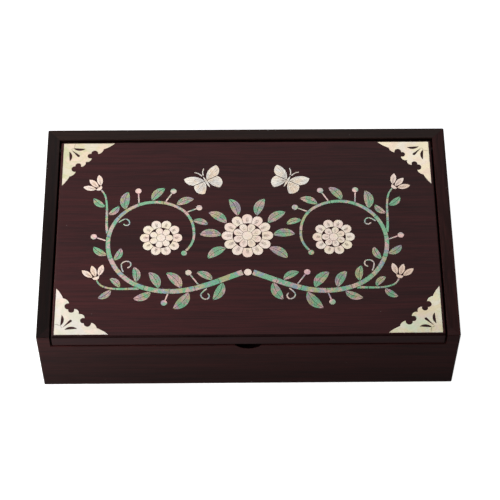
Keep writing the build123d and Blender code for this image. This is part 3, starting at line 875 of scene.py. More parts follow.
# %% Moulded rubber and nylon
def moulded(name, colour, bloom, rough_base, grain_scale):
    """Rubber or nylon: dark, matt, with a fine moulded grain and a little bloom."""
    finish, w, place = new_finish(name)
    tone = w.mix(w.group(HANDLING, Place=place)["Patch"] * 0.7, colour, bloom)
    fine = w.noise(place, scale=grain_scale, rough=0.6)
    rough = rough_base + fine * 0.15
    return completed(finish, w, tone, rough, bump=(0.4, 0.00003, fine), Specular_IOR_Level=0.3)


RUBBER_FINISH = moulded("black_rubber", (0.012, 0.012, 0.012), (0.03, 0.03, 0.029), 0.62, 2500.0)
NYLON_FINISH = moulded("black_nylon", (0.005, 0.004, 0.004), (0.012, 0.011, 0.011), 0.55, 1800.0)
print("made", RUBBER_FINISH.name, "and", NYLON_FINISH.name)

# %% [markdown]
# ## Dress the CAD nodes
#
# Each node of the CAD model comes with material slots. The finishes go into these slots, so the
# solids themselves stay as they are. The small parts come in pairs and fours with like names, so
# the ending of the name says what a part is made of. Only the linings are left over: velvet pads
# take their place further down.

# %% Lay each finish on its CAD node
FINISH_BY_ENDING = {
    "_tongue": TONGUE_FINISH,
    "_pin": STEEL_FINISH,
    "_bush": BRASS_FINISH,
    "_foot": RUBBER_FINISH,
    "_buffer": RUBBER_FINISH,
    "_washer": NYLON_FINISH,
}
NODE_FINISHES = {**BOARD_FINISHES, **SHELL_FINISHES, "bottom_panel": PANEL_FINISH}
for node_name in nodes:
    for ending, finish in FINISH_BY_ENDING.items():
        if node_name.endswith(ending):
            NODE_FINISHES[node_name] = finish
for node_name, finish in NODE_FINISHES.items():
    slots = nodes[node_name].data.materials
    for index in range(len(slots)):
        slots[index] = finish
print("dressed", len(NODE_FINISHES), "nodes; left for the pads:", sorted(set(nodes) - set(NODE_FINISHES)))

# %% [markdown]
# ## Velvet pads
#
# The inside is lined with velvet that is stretched over card and padding. Velvet's short pile is
# dark from above and bright at a grazing angle, which the shader's sheen repeats, and it lies in
# broad strokes where a hand has brushed it. The thread of the stitches is a shade lighter.

# %% Velvet and thread
VELVET_DARK = (0.110, 0.006, 0.013)
VELVET_LIGHT = (0.160, 0.010, 0.020)
VELVET_DEEP = (0.05, 0.002, 0.006)
VELVET_SHEEN = (0.9, 0.35, 0.4)
THREAD_DARK = (0.16, 0.015, 0.03)
THREAD_LIGHT = (0.32, 0.05, 0.07)


def velvet(name):
    """Short pile: dark in the folds, with a soft sheen and a nap that lies in broad strokes."""
    finish, w, place = new_finish(name)
    nap = w.noise(place, scale=22.0, detail=3.0, rough=0.6, warp=0.8)
    brushed = w.mix(w.span(nap, 0.36, 0.66), VELVET_DARK, VELVET_LIGHT)
    pile = w.noise(place, scale=2600.0, detail=1.0)
    return completed(
        finish, w, w.mix(pile * 0.5, brushed, VELVET_DEEP), 0.78 + pile * 0.18, bump=(0.6, 0.0002, pile),
        Specular_IOR_Level=0.15, Sheen_Weight=0.5, Sheen_Roughness=0.35, Sheen_Tint=VELVET_SHEEN,
    )


def sewing_thread(name):
    """Twisted thread a shade lighter than the velvet."""
    finish, w, place = new_finish(name)
    twist = w.node("ShaderNodeTexWave", {"Vector": place, "Scale": 900.0, "Distortion": 2.0})["Fac"]
    colour = w.mix(twist, THREAD_DARK, THREAD_LIGHT)
    return completed(finish, w, colour, 0.55 + twist * 0.15, Sheen_Weight=0.3, Sheen_Roughness=0.4)


VELVET_FINISH = velvet("wine_velvet")
THREAD_FINISH = sewing_thread("wine_thread")
print("made", VELVET_FINISH.name, "and", THREAD_FINISH.name)

# %% [markdown]
# A pad is a thin cushion: its face swells towards the middle, rolls over at the rim and wrinkles a
# little where the cloth is pulled round the card. Blender's cloth simulation is the usual way to a
# cushion, but these pads are only 1 to 3 mm thick, and the simulation's coarse cells would erase
# them. So the height of the face is worked out from the distance to the rim.

# %% The shape of a pad
PAD_SLACK = 0.0002
EDGE_LEVEL, CROWN_SHARE = 0.30, 0.14
SEAM_DEPTH, SEAM_WIDTH = 0.28, 0.45
CREASE_DEPTH, CREASE_FADE = 0.10, 6
BROAD_CREASES, FINE_CREASES = 60, 190
HEADROOM = 0.04


class Pad:
    """A pad in the room of one CAD lining; x and y run across its face, from its low corner."""

    def __init__(self, node, axis, way, roll, seam, seed, body):
        self.node, self.body = node, body
        self.name = node.replace("lining", "pad")
        self.axis, self.way = axis, way
        self.roll, self.seam, self.seed = roll, seam, seed
        slack = Vector((PAD_SLACK,) * 3)
        low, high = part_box(node)
        self.level = (low if way > 0 else high)[axis]
        self.low, high = low + slack, high - slack
        self.across, self.along = [i for i in range(3) if i != axis]
        size = high - self.low
        self.width, self.depth, self.thickness = size[self.across], size[self.along], size[axis]

    def height(self, x, y):
        """How high the cloth stands at one place."""
        rim = min(x, self.width - x, y, self.depth - y)
        lean = max(0.0, 1.0 - rim / self.roll)
        round_over = math.sqrt(max(0.0, 1.0 - lean * lean))
        crown = 1.0 - ((2 * x / self.width - 1) ** 4 + (2 * y / self.depth - 1) ** 4) / 2
        level = self.thickness * (EDGE_LEVEL + (1.0 - EDGE_LEVEL) * round_over)
        level *= 1.0 - CROWN_SHARE + CROWN_SHARE * crown
        if self.seam:
            from_seam = (rim - self.seam) / (SEAM_WIDTH * self.roll)
            level -= SEAM_DEPTH * self.thickness * math.exp(-(from_seam ** 2))
        pull = math.exp(-rim / (CREASE_FADE * self.roll))
        broad = noise.noise(Vector((x * BROAD_CREASES, y * BROAD_CREASES, self.seed)))
        fine = noise.noise(Vector((x * FINE_CREASES, y * FINE_CREASES, self.seed + 7)))
        return level * (1.0 + CREASE_DEPTH * pull * (0.5 * broad + fine)) - HEADROOM * self.thickness

    def place(self, x, y, height):
        """Where a point of the pad lies in the box."""
        point = Vector((0, 0, 0))
        point[self.across] = self.low[self.across] + x
        point[self.along] = self.low[self.along] + y
        point[self.axis] = self.level + self.way * height
        return point


X_AXIS, Y_AXIS, Z_AXIS = 0, 1, 2
FLOOR_ROLL, WALL_ROLL, LID_ROLL = 0.0028, 0.0013, 0.0012
FLOOR_SEAM, LID_SEAM = 0.007, 0.006
PADS = (
    Pad("floor_lining", Z_AXIS, 1, FLOOR_ROLL, FLOOR_SEAM, 1.0, "case"),
    Pad("front_wall_lining", Y_AXIS, 1, WALL_ROLL, None, 2.0, "case"),
    Pad("rear_wall_lining", Y_AXIS, -1, WALL_ROLL, None, 3.0, "case"),
    Pad("left_wall_lining", X_AXIS, 1, WALL_ROLL, None, 4.0, "case"),
    Pad("right_wall_lining", X_AXIS, -1, WALL_ROLL, None, 5.0, "case"),
    Pad("lid_lining", Z_AXIS, -1, LID_ROLL, LID_SEAM, 6.0, "lid"),
)
for pad in PADS:
    print(pad.name, "has a face in mm of", in_mm((pad.width, pad.depth)))

# %% [markdown]
# The mesh of a pad is a grid of points, close together where the cloth rolls over the rim and
# wider apart in between, closed by four narrow sides and a back. A grid that is as fine
# everywhere as at the rim would have a hundred times the faces and look the same.

# %% The mesh of a pad
ROLL_STEPS = (0.0, 0.12, 0.35, 0.7, 1.2, 2.0, 3.2, 5.0)
GRID_STEP = 0.004


def smooth(made):
    """Shades the faces of an object as one smooth surface."""
    for polygon in made.data.polygons:
        polygon.use_smooth = True


def mesh_object(name, mesh):
    """Turns a mesh in the making into an object at the origin."""
    data = bpy.data.meshes.new(name)
    mesh.to_mesh(data)
    mesh.free()
    return linked(bpy.data.objects.new(name, data))


def marks(length, roll):
    """Places across a pad, close together at its two rims and even in between."""
    edge = [roll * step for step in ROLL_STEPS]
    inner = length - 2 * edge[-1]
    count = max(2, round(inner / GRID_STEP))
    middle = [edge[-1] + inner * i / count for i in range(1, count)]
    return edge + middle + [length - e for e in reversed(edge)]


def pad_object(pad):
    """A closed slab with a rolled rim, whose face follows the height of the pad."""
    mesh = bmesh.new()
    xs, ys = marks(pad.width, pad.roll), marks(pad.depth, pad.roll)
    face = [[mesh.verts.new(pad.place(x, y, pad.height(x, y))) for x in xs] for y in ys]
    back = [[mesh.verts.new(pad.place(x, y, 0.0)) for x in (xs[0], xs[-1])] for y in (ys[0], ys[-1])]
    for row, next_row in zip(face, face[1:]):
        for i in range(len(xs) - 1):
            mesh.faces.new((row[i], row[i + 1], next_row[i + 1], next_row[i]))
    mesh.faces.new([back[0][0], back[0][1]] + list(reversed(face[0])))
    mesh.faces.new([back[1][1], back[1][0]] + list(face[-1]))
    mesh.faces.new([back[1][0], back[0][0]] + [row[0] for row in face])
    mesh.faces.new([back[0][1], back[1][1]] + [row[-1] for row in reversed(face)])
    mesh.faces.new((back[0][0], back[1][0], back[1][1], back[0][1]))
    bmesh.ops.recalc_face_normals(mesh, faces=mesh.faces)
    bmesh.ops.triangulate(mesh, faces=[f for f in mesh.faces if len(f.verts) > 4])
    made = mesh_object(pad.name, mesh)
    smooth(made)
    return made


for pad in PADS:
    made = pad_object(pad)
    made.data.materials.append(VELVET_FINISH)
    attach(made, pad.body)
    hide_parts(pad.node)
    print(pad.name, "has", len(made.data.polygons), "faces")

# %% [markdown]
# ## Geometry Nodes: stitches
#
# A row of equal stitches follows the rim of the floor pad and of the lid's pad. They could be
# copied by a loop, but setting out equal pieces along a line is what Geometry Nodes are for: the
# seam is a closed line, the tree walks along it in equal steps, lays one small stitch at each step
# and turns it to the line's direction. The pitch or the thread is then one number to change.

# %% Helpers for Geometry Nodes
def set_inputs(modifier, **values):
    """Fills a modifier's inputs, found by their names through the tree's own socket list."""
    for item in modifier.node_group.interface.items_tree:
        if item.item_type == "SOCKET" and item.in_out == "INPUT":
            key = item.name.replace(" ", "_")
            if key in values:
                modifier[item.identifier] = values[key]


def baked(name, start, tree, **values):
    """Runs a tree on a starting object and keeps its result as a plain mesh at the origin."""
    modifier = start.modifiers.new("pattern", "NODES")
    modifier.node_group = tree
    set_inputs(modifier, **values)
    bpy.context.view_layer.update()
    evaluated = start.evaluated_get(bpy.context.evaluated_depsgraph_get())
    data = bpy.data.meshes.new_from_object(evaluated)
    data.name = name
    start.modifiers.remove(modifier)
    bpy.data.objects.remove(start)
    print(name, "has", len(data.polygons), "faces")
    return linked(bpy.data.objects.new(name, data))


def line_object(name, lines, attributes=None):
    """Polylines as edges, with an optional number for each line kept on its points."""
    mesh = bmesh.new()
    layers = {key: mesh.verts.layers.float.new(key) for key in (attributes or {})}
    for index, line in enumerate(lines):
        points = [mesh.verts.new(p) for p in line]
        for key, layer in layers.items():
            for point in points:
                point[layer] = attributes[key][index]
        for a, b in zip(points, points[1:]):
            mesh.edges.new((a, b))
    return mesh_object(name, mesh)


print("a tree runs on a line object and is baked into a plain mesh")

# %% Steps that the trees share
def random_number(w, low, high, seed):
    """A number for each point, drawn with a fixed seed."""
    inputs = {RANDOM_LOW: low, RANDOM_HIGH: high, "Seed": seed}
    return w.node("FunctionNodeRandomValue", inputs)[RANDOM_RESULT]


def turned_about_z(w, angle):
    """A rotation about Z by an angle in radians."""
    return w.node("FunctionNodeEulerToRotation", {"Euler": w.place(Z=angle)})["Rotation"]


def as_curve(w, lines):
    """The edges of a mesh as curves."""
    return w.node("GeometryNodeMeshToCurve", {"Mesh": lines})["Curve"]


def in_steps(w, lines, length):
    """A curve along the lines, with a point at every step."""
    inputs = {"Curve": as_curve(w, lines), "Length": length}
    return w.node("GeometryNodeResampleCurve", inputs, mode="LENGTH")["Curve"]


def real(w, shape):
    """Instances made into geometry of their own."""
    return w.node("GeometryNodeRealizeInstances", {"Geometry": shape})["Geometry"]


def laid(w, points, piece, **placing):
    """The piece at each point, turned and scaled as the placing says, as real geometry."""
    inputs = {"Points": points, "Instance": piece, **placing}
    return real(w, w.node("GeometryNodeInstanceOnPoints", inputs)["Instances"])


def dressed(w, shape, finish):
    """The last two steps of every tree: real geometry that carries its finish."""
    return w.node("GeometryNodeSetMaterial", {"Geometry": real(w, shape), "Material": finish})["Geometry"]


print("each tree ends in Realize Instances and Set Material")

# %% The tree for stitches
STITCH_WOBBLE = 0.07


def stitch_tree():
    """Equal stitches along a line, each a small capsule that lies along it."""
    w, start = new_group(
        "Row of stitches",
        "GeometryNodeTree",
        [
            ("Seam", "shape"),
            ("Pitch", "number"),
            ("Stitch length", "number"),
            ("Thread", "number"),
            ("Seed", "count"),
            ("Finish", "finish"),
        ],
        [("Stitches", "shape")],
    )
    ball = w.node("GeometryNodeMeshUVSphere", {"Segments": 6, "Rings": 4, "Radius": 0.5})["Mesh"]
    size = w.place(X=start["Stitch length"], Y=start["Thread"], Z=start["Thread"])
    stitch = w.node("GeometryNodeTransform", {"Geometry": ball, "Scale": size})["Geometry"]
    along = w.node("GeometryNodeInputTangent")["Tangent"]
    facing = w.node("FunctionNodeAlignRotationToVector", {"Vector": along}, axis="X")["Rotation"]
    wobble = turned_about_z(w, random_number(w, -STITCH_WOBBLE, STITCH_WOBBLE, start["Seed"]))
    turned = w.node("FunctionNodeRotateRotation", {"Rotation": facing, "Rotate By": wobble})["Rotation"]
    row = laid(w, in_steps(w, start["Seam"], start["Pitch"]), stitch, Rotation=turned)
    w.give(Stitches=dressed(w, row, start["Finish"]))
    return w.tree


STITCH_TREE = stitch_tree()
print("made", STITCH_TREE.name)

# %% Sew the floor pad and the lid's pad
SEAM_CORNER = 0.004
SEAM_CORNER_STEPS = 6
STITCH_PITCH = 0.0042
STITCH_LENGTH = 0.0030
THREAD_WIDTH = 0.0005
THREAD_LIFT = 0.0001


def seam_line(pad):
    """A closed line with rounded corners, inset from the rim of a pad and lying on its face."""
    inset = pad.seam + SEAM_CORNER
    low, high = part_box(pad.node)
    points = []
    for cx, cy, first in (
        (high.x - inset, high.y - inset, 0),
        (low.x + inset, high.y - inset, 90),
        (low.x + inset, low.y + inset, 180),
        (high.x - inset, low.y + inset, 270),
    ):
        for step in range(SEAM_CORNER_STEPS + 1):
            angle = math.radians(first + 90 * step / SEAM_CORNER_STEPS)
            x = cx + SEAM_CORNER * math.cos(angle) - pad.low.x
            y = cy + SEAM_CORNER * math.sin(angle) - pad.low.y
            points.append(pad.place(x, y, pad.height(x, y) + THREAD_LIFT))
    return points + [points[0]]


for pad in PADS:
    if pad.seam:
        name = f"{pad.name}_stitches"
        sewn = baked(
            name, line_object(f"{name}_line", [seam_line(pad)]), STITCH_TREE, Pitch=STITCH_PITCH,
            Stitch_length=STITCH_LENGTH, Thread=THREAD_WIDTH, Seed=3, Finish=THREAD_FINISH,
        )
        smooth(sewn)
        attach(sewn, pad.body)

# %% [markdown]
# ## Geometry Nodes: the engraver's cuts
#
# Fine dark lines are cut into the polished shell and filled with lacquer: fans on the petals,
# veins on the leaves and rays on the wings. They are far thinner than a plate, so they are added
# here. As bump they would vanish at this size, because they are dark more than they are deep. One
# tree takes any bundle of lines and keeps only what lies on the plates and clear of their rims. It
# looks straight down from each point to see whether a plate is below, measures the distance to
# the nearest rim, and drops the points that fail. What is left is swept into a thin ridge that
# tapers at both ends, as a graver's cut does.

# %% The tree that trims lines to the plates and sweeps them
LOOK_FROM = 0.001
FACES_UP = 0.9
FACES_AT_A_RIM = 1
TAPERED_END = 0.25
TRIM_INPUTS = [
    ("Plates", "object"),
    ("Step", "number"),
    ("Margin", "number"),
    ("Cut width", "number"),
    ("Cut height", "number"),
    ("Finish", "finish"),
]


def off_the_plates(w, start, place):
    """Whether a point fails, because no plate is below it or because a rim is too near."""
    shell = w.node("GeometryNodeObjectInfo", {"Object": start["Plates"]}, transform_space="RELATIVE")
    normal = w.node("GeometryNodeInputNormal")["Normal"]
    upward = w.step("GREATER_THAN", w.parts(normal)["Z"], FACES_UP)
    split = {"Geometry": shell["Geometry"], "Selection": upward}
    tops = w.node("GeometryNodeSeparateGeometry", split, domain="FACE")["Selection"]
    neighbours = w.node("GeometryNodeInputMeshEdgeNeighbors")["Face Count"]
    split = {"Geometry": tops, "Selection": w.step("LESS_THAN", neighbours, FACES_AT_A_RIM + 0.5)}
    rims = w.node("GeometryNodeSeparateGeometry", split, domain="EDGE")["Selection"]
    ray = {
        "Target Geometry": tops,
        "Source Position": place + (0, 0, LOOK_FROM),
        "Ray Direction": (0, 0, -1),
        "Ray Length": 2 * LOOK_FROM,
    }
    hit = w.node("GeometryNodeRaycast", ray)["Is Hit"]
    nearest = {"Geometry": rims, "Sample Position": place}
    gap = w.node("GeometryNodeProximity", nearest, target_element="EDGES")["Distance"]
    return w.step("MAXIMUM", w.step("LESS_THAN", gap, start["Margin"]), 1.0 - hit)


def cut_tree():
    """Trims lines to the tops of the plates and sweeps them into tapered cuts."""
    w, start = new_group(
        "Cuts on plates", "GeometryNodeTree", [("Lines", "shape")] + TRIM_INPUTS, [("Cuts", "shape")]
    )
    even = in_steps(w, start["Lines"], start["Step"])
    wire = w.node("GeometryNodeCurveToMesh", {"Curve": even})["Mesh"]
    off = off_the_plates(w, start, w.node("GeometryNodeInputPosition")["Position"])
    kept = w.node("GeometryNodeDeleteGeometry", {"Geometry": wire, "Selection": off}, domain="POINT")
    runs = as_curve(w, kept["Geometry"])
    flat = w.node("GeometryNodeSetCurveNormal", {"Curve": runs}, mode="Z_UP")["Curve"]
    share = w.node("GeometryNodeSplineParameter")["Factor"]
    swell = share * (1.0 - share) * 4.0
    taper = TAPERED_END + w.step("SQRT", swell) * (1.0 - TAPERED_END)
    sides = {"Width": start["Cut width"], "Height": start["Cut height"]}
    section = w.node("GeometryNodeCurvePrimitiveQuadrilateral", sides)["Curve"]
    sweep = {"Curve": flat, "Profile Curve": section, "Scale": taper, "Fill Caps": True}
    swept = w.node("GeometryNodeCurveToMesh", sweep)["Mesh"]
    w.give(Cuts=dressed(w, swept, start["Finish"]))
    return w.tree


CUT_TREE = cut_tree()
print("made", CUT_TREE.name)

# %% [markdown]
# The lines themselves come from two more trees. A fan sends rays out from points that are marked
# with a direction and a reach. Veins start at even steps along a midrib and lean away from it.
# Both hand their lines to the trimming tree, which is used in them as a group.

# %% What the two trees share
def marked(w, name):
    """A number that the starting points carry."""
    return w.node("GeometryNodeInputNamedAttribute", {"Name": name}, data_type="FLOAT")["Attribute"]


def trimmed(w, curves, start):
    """Curves that go through the trimming tree as lines."""
    inputs = {title: start[title] for title, _ in TRIM_INPUTS}
    inputs["Lines"] = w.node("GeometryNodeCurveToMesh", {"Curve": curves})["Mesh"]
    cuts = w.node("GeometryNodeGroup", inputs, node_tree=CUT_TREE)["Cuts"]
    return dressed(w, cuts, start["Finish"])


print("both trees pass on", [title for title, _ in TRIM_INPUTS])

# %% The tree for fans of rays
RAY_JITTER = 0.05


def fan_tree():
    """Rays from each marked point, spread evenly either side of its direction."""
    w, start = new_group(
        "Fans of cuts",
        "GeometryNodeTree",
        [
            ("Roots", "shape"),
            ("Rays", "count"),
            ("Spread", "number"),
            ("Shorter by", "number"),
            ("Starts at", "number"),
            ("Seed", "count"),
        ] + TRIM_INPUTS,
        [("Cuts", "shape")],
    )
    near_end = w.place(X=start["Starts at"])
    ray = w.node("GeometryNodeCurvePrimitiveLine", {"Start": near_end, "End": (1, 0, 0)})["Curve"]
    index = w.node("GeometryNodeInputIndex")["Index"]
    side = index / (start["Rays"] - 1.0) * 2.0 - 1.0
    angle = (side + random_number(w, -RAY_JITTER, RAY_JITTER, start["Seed"])) * start["Spread"]
    reach = 1.0 - abs(side) * start["Shorter by"]
    dots = w.node("GeometryNodePoints", {"Count": start["Rays"]})["Points"]
    fan = laid(w, dots, ray, Rotation=turned_about_z(w, angle), Scale=reach)
    roots = w.node("GeometryNodeMeshToPoints", {"Mesh": start["Roots"]})["Points"]
    way = turned_about_z(w, marked(w, "way"))
    w.give(Cuts=trimmed(w, laid(w, roots, fan, Rotation=way, Scale=marked(w, "reach")), start))
    return w.tree


FAN_TREE = fan_tree()
print("made", FAN_TREE.name)

# %% The tree for veins
VEIN_JITTER = 0.07


def vein_tree():
    """Veins that leave a midrib at an even pitch and lean to the side that the midrib is marked with."""
    w, start = new_group(
        "Veins on leaves",
        "GeometryNodeTree",
        [("Midribs", "shape"), ("Pitch", "number"), ("Lean", "number"), ("Seed", "count")] + TRIM_INPUTS,
        [("Cuts", "shape")],
    )
    walk = {"Curve": as_curve(w, start["Midribs"]), "Length": start["Pitch"]}
    even = w.node("GeometryNodeCurveToPoints", walk, mode="LENGTH")
    along = w.parts(even["Tangent"])
    heading = w.step("ARCTAN2", along["Y"], along["X"])
    uneven = random_number(w, 1.0 - VEIN_JITTER, 1.0 + VEIN_JITTER, start["Seed"])
    lean = start["Lean"] * uneven * marked(w, "side")
    vein = w.node("GeometryNodeCurvePrimitiveLine", {"Start": (0, 0, 0), "End": (1, 0, 0)})["Curve"]
    turn = turned_about_z(w, heading + lean)
    w.give(Cuts=trimmed(w, laid(w, even["Points"], vein, Rotation=turn, Scale=marked(w, "reach")), start))
    return w.tree


VEIN_TREE = vein_tree()
print("made", VEIN_TREE.name)

# %% [markdown]
# To place the cuts, the script looks at the plates themselves, so that the cuts follow when a
# plate is moved. Each plate is an island of its node's mesh. A half leaf is longest along its
# midrib, so the two outline points that lie farthest apart are the ends of the midrib, and the end
# that is nearer to the vine is its root.

# %% Find the plates of a node
SAME_POINT = 1e-7
TOP_BAND = 0.00005


def plates_of(name):
    """The top corner points of each plate of an inlay node, plate by plate."""
    mesh = bmesh.new()
    mesh.from_mesh(nodes[name].data)
    bmesh.ops.remove_doubles(mesh, verts=mesh.verts, dist=SAME_POINT)
    top = max(v.co.z for v in mesh.verts) - TOP_BAND
    found, seen = [], set()
    for first in mesh.verts:
        if first in seen:
            continue
        seen.add(first)
        island, todo = [], [first]
        while todo:
            vert = todo.pop()
            island.append(vert)
            for edge in vert.link_edges:
                other = edge.other_vert(vert)
                if other not in seen:
                    seen.add(other)
                    todo.append(other)
        found.append([v.co.copy() for v in island if v.co.z > top])
    mesh.free()
    return found


def middle_of(points):
    """The average of some points."""
    return sum(points, Vector()) / len(points)


LID_FACE = max(v.co.z for v in nodes["middle_flower_inlay"].data.vertices)
VINE_POINTS = {
    hand: [p for plate in plates_of(f"{hand}_vine_inlay") + plates_of("middle_flower_inlay") for p in plate]
    for hand in ("left", "right")
}
print("shell stands at", round(1000 * LID_FACE, 2), "mm")

# %% The ends of a plate
def longest_line(points):
    """The two points that lie farthest apart."""
    best = max(((a - b).length, i, j) for i, a in enumerate(points) for j, b in enumerate(points[:i]))
    return points[best[1]], points[best[2]]


def root_and_tip(points, hand):
    """The two ends of a plate, first the one that is nearer to the vine."""
    return sorted(longest_line(points), key=lambda end: min((end - p).length for p in VINE_POINTS[hand]))


def on_the_lid(point):
    """The point at the level of the shell's face."""
    return Vector((point.x, point.y, LID_FACE))


print("a leaf's root is sought near", len(VINE_POINTS["left"]), "corner points on the left")

# %% [markdown]
# The cuts are rubbed full of dark lacquer and wiped flush. One flat brown would look printed, so
# the lacquer drifts a little between two browns. Every bundle of cuts is baked with it and then
# rides on the lid, as the plates do.

# %% Dark lacquer in the cuts
CUT_HEIGHT = 0.00005
LEAF_CUT_WIDTH = 0.00022
WING_CUT_WIDTH = 0.0002
CUT_STEP = 0.0005


def cut_filler(name):
    """Dark brown lacquer, rubbed flush, a little uneven in depth of colour."""
    finish, w, place = new_finish(name)
    uneven = w.noise(place, scale=900.0, rough=0.6)
    colour = w.mix(uneven, (0.05, 0.022, 0.016), (0.14, 0.075, 0.05))
    return completed(finish, w, colour, 0.45 + uneven * 0.2, Specular_IOR_Level=0.3)


FILLER = cut_filler("cut_filler")


def engraved(name, start, tree, node, **values):
    """Cuts on the plates of one node, which turn with the lid."""
    cuts = baked(name, start, tree, Plates=nodes[node], Cut_height=CUT_HEIGHT, Finish=FILLER, **values)
    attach(cuts, "lid")


print("made", FILLER.name)

# %% [markdown]
# A vein should reach the rim of its half leaf and stop there. The trimming tree stops it at the
# rim, but a long vein would go on and mark the next leaf as well. So each midrib is also marked
# with how long its veins are: a little more than the half leaf is wide.

# %% Veins and midribs on the leaves
VEIN_LEAN = 0.66
VEIN_PITCH = 0.0015
VEIN_MARGIN = 0.00045
PAST_THE_RIM = 1.25


def midribs(hand):
    """Each half leaf's midrib as a line from its root, with its side and how long a vein is there."""
    lines, sides, reaches = [], [], []
    for points in plates_of(f"{hand}_leaves_inlay"):
        root, tip = root_and_tip(points, hand)
        ahead = (tip - root).normalized()
        leftward = [ahead.x * (p - root).y - ahead.y * (p - root).x for p in points]
        side = 1.0 if sum(leftward) > 0 else -1.0
        width = max(side * distance for distance in leftward)
        sides.append(side)
        reaches.append(PAST_THE_RIM * width / math.sin(VEIN_LEAN))
        lines.append([on_the_lid(root), on_the_lid(tip)])
    return lines, sides, reaches


for hand in ("left", "right"):
    lines, sides, reaches = midribs(hand)
    print(hand, "veins reach", in_mm((min(reaches), max(reaches))), "mm")
    start = line_object(f"{hand}_midribs", lines, {"side": sides, "reach": reaches})
    engraved(
        f"{hand}_leaf_veins", start, VEIN_TREE, f"{hand}_leaves_inlay", Pitch=VEIN_PITCH, Lean=VEIN_LEAN,
        Seed=5, Step=CUT_STEP, Margin=VEIN_MARGIN, Cut_width=LEAF_CUT_WIDTH,
    )

# %% [markdown]
# On a rosette the cuts fan out within each petal. Here the plates need not be searched: the
# rosette's middle, its radii and the counts of its petals give the place, the direction and the
# reach of every fan. In the outer ring the cuts begin a little way out, past the tips of the inner
# petals. The inner ring of the left rosette is turned by half a petal against its fans, because
# it mirrors the right one, so the trimming tree drops most of the cuts there.

# %% Fans on the petals
PETAL_MARGIN = 0.0006
PETAL_ROOT = 0.70
OUTER_TIP = 0.88
INNER_TIP = 0.84
OUTER_FAN = {"Rays": 5, "Spread": 0.15, "Starts_at": 0.40}
INNER_FAN = {"Rays": 3, "Spread": 0.20, "Starts_at": 0.0}


def fan_roots(name, fans):
    """Starting points for the fan tree; each fan is a place, a direction and a reach."""
    places = [[on_the_lid(place)] for place, _, _ in fans]
    ways = [math.atan2(ahead.y, ahead.x) for _, ahead, _ in fans]
    return line_object(name, places, {"way": ways, "reach": [reach for _, _, reach in fans]})


def ring_of_fans(middle, count, turned, inner, outer):
    """A fan for each petal of one ring, the first turned by a part of a petal."""
    fans = []
    for order in range(count):
        way = math.tau * (order + turned) / count
        ahead = Vector((math.cos(way), math.sin(way), 0))
        fans.append((middle + ahead * inner, ahead, outer - inner))
    return fans


for rosette_name, rosette in ROSETTES.items():
    inner_edge = rosette.split * PETAL_ROOT
    outer_ring = (rosette.outer_petals, 0.0, inner_edge, rosette.radius * OUTER_TIP)
    inner_ring = (rosette.inner_petals, 0.5, rosette.eye * PETAL_ROOT, rosette.split * INNER_TIP)
    for ring_name, ring, fan in (("outer", outer_ring, OUTER_FAN), ("inner", inner_ring, INNER_FAN)):
        name = f"{rosette_name}_{ring_name}_petal_cuts"
        roots = fan_roots(f"{name}_roots", ring_of_fans(rosette.middle, *ring))
        engraved(
            name, roots, FAN_TREE, f"{rosette_name}_flower_inlay", **fan, Shorter_by=0.14, Seed=2,
            Step=CUT_STEP, Margin=PETAL_MARGIN, Cut_width=LEAF_CUT_WIDTH,
        )

# %% [markdown]
# A wing's rays start beside the butterfly's body and open towards the far rim, and a bud's petals
# have lines that run from their root. Both are fans again, with their place and direction read
# from the plates. Plates that are too small to be a wing or a petal are passed over, so the body,
# the feelers and the cups of the buds stay plain.

# %% Rays on the wings and lines on the bud petals
SMALLEST_WING = 0.012
WING_CORNERS = 12
BODY_REACH = 0.002
ROOT_BEHIND = 0.001
SMALLEST_PETAL = 0.009
PETAL_LINE_SHARE = 0.8
SMALL_MARGIN = 0.0005


def wing_fans(hand):
    """A fan for each wing of a butterfly, from the corner next to its body to its far end."""
    plates = plates_of(f"{hand}_butterfly_inlay")
    middle = middle_of([p for plate in plates for p in plate])
    fans = []
    for points in plates:
        a, b = longest_line(points)
        small = len(points) < WING_CORNERS or (a - b).length < SMALLEST_WING
        if small or (middle_of(points) - middle).length < BODY_REACH:
            continue
        root = min(points, key=lambda p: (p - middle).length)
        ahead = middle_of(points) - root
        reach = max((p - root).length for p in points)
        fans.append((root - ahead.normalized() * ROOT_BEHIND, ahead, reach))
    return fans


def bud_fans(hand):
    """A fan for each pointed petal of a bud, from its root towards its tip."""
    fans = []
    for points in plates_of(f"{hand}_buds_inlay"):
        root, tip = root_and_tip(points, hand)
        if (tip - root).length >= SMALLEST_PETAL:
            fans.append((root, tip - root, (tip - root).length * PETAL_LINE_SHARE))
    return fans


for hand in ("left", "right"):
    for name, node, fans_of, rays, spread in (
        (f"{hand}_wing_cuts", f"{hand}_butterfly_inlay", wing_fans, 7, 0.55),
        (f"{hand}_bud_cuts", f"{hand}_buds_inlay", bud_fans, 3, 0.13),
    ):
        engraved(
            name, fan_roots(f"{name}_roots", fans_of(hand)), FAN_TREE, node, Rays=rays, Spread=spread,
            Shorter_by=0.15, Seed=4, Step=CUT_STEP, Margin=SMALL_MARGIN, Cut_width=WING_CUT_WIDTH,
        )

# %% [markdown]
# Each corner ornament is put together from two pieces of shell. Their joint shows as a hairline
# that runs from the fan of slits to one outer edge, and the four ornaments follow each other
# round the lid, each turned a quarter from the last. The hairline goes through the same trimming
# tree as the cuts, so it ends at the rim of the shell.

# %% Joints of the corner ornaments
JOINT_IN_MM = ((7.2, 7.0), (8.6, 6.4), (10.1, 5.3), (10.9, 3.0), (11.2, 0.0))
JOINT_STEP = 0.0003
JOINT_MARGIN = 0.00005
JOINT_WIDTH = 0.00036
CORNER_TURNS = {"rear_right": 0, "front_right": -90, "front_left": -180, "rear_left": -270}


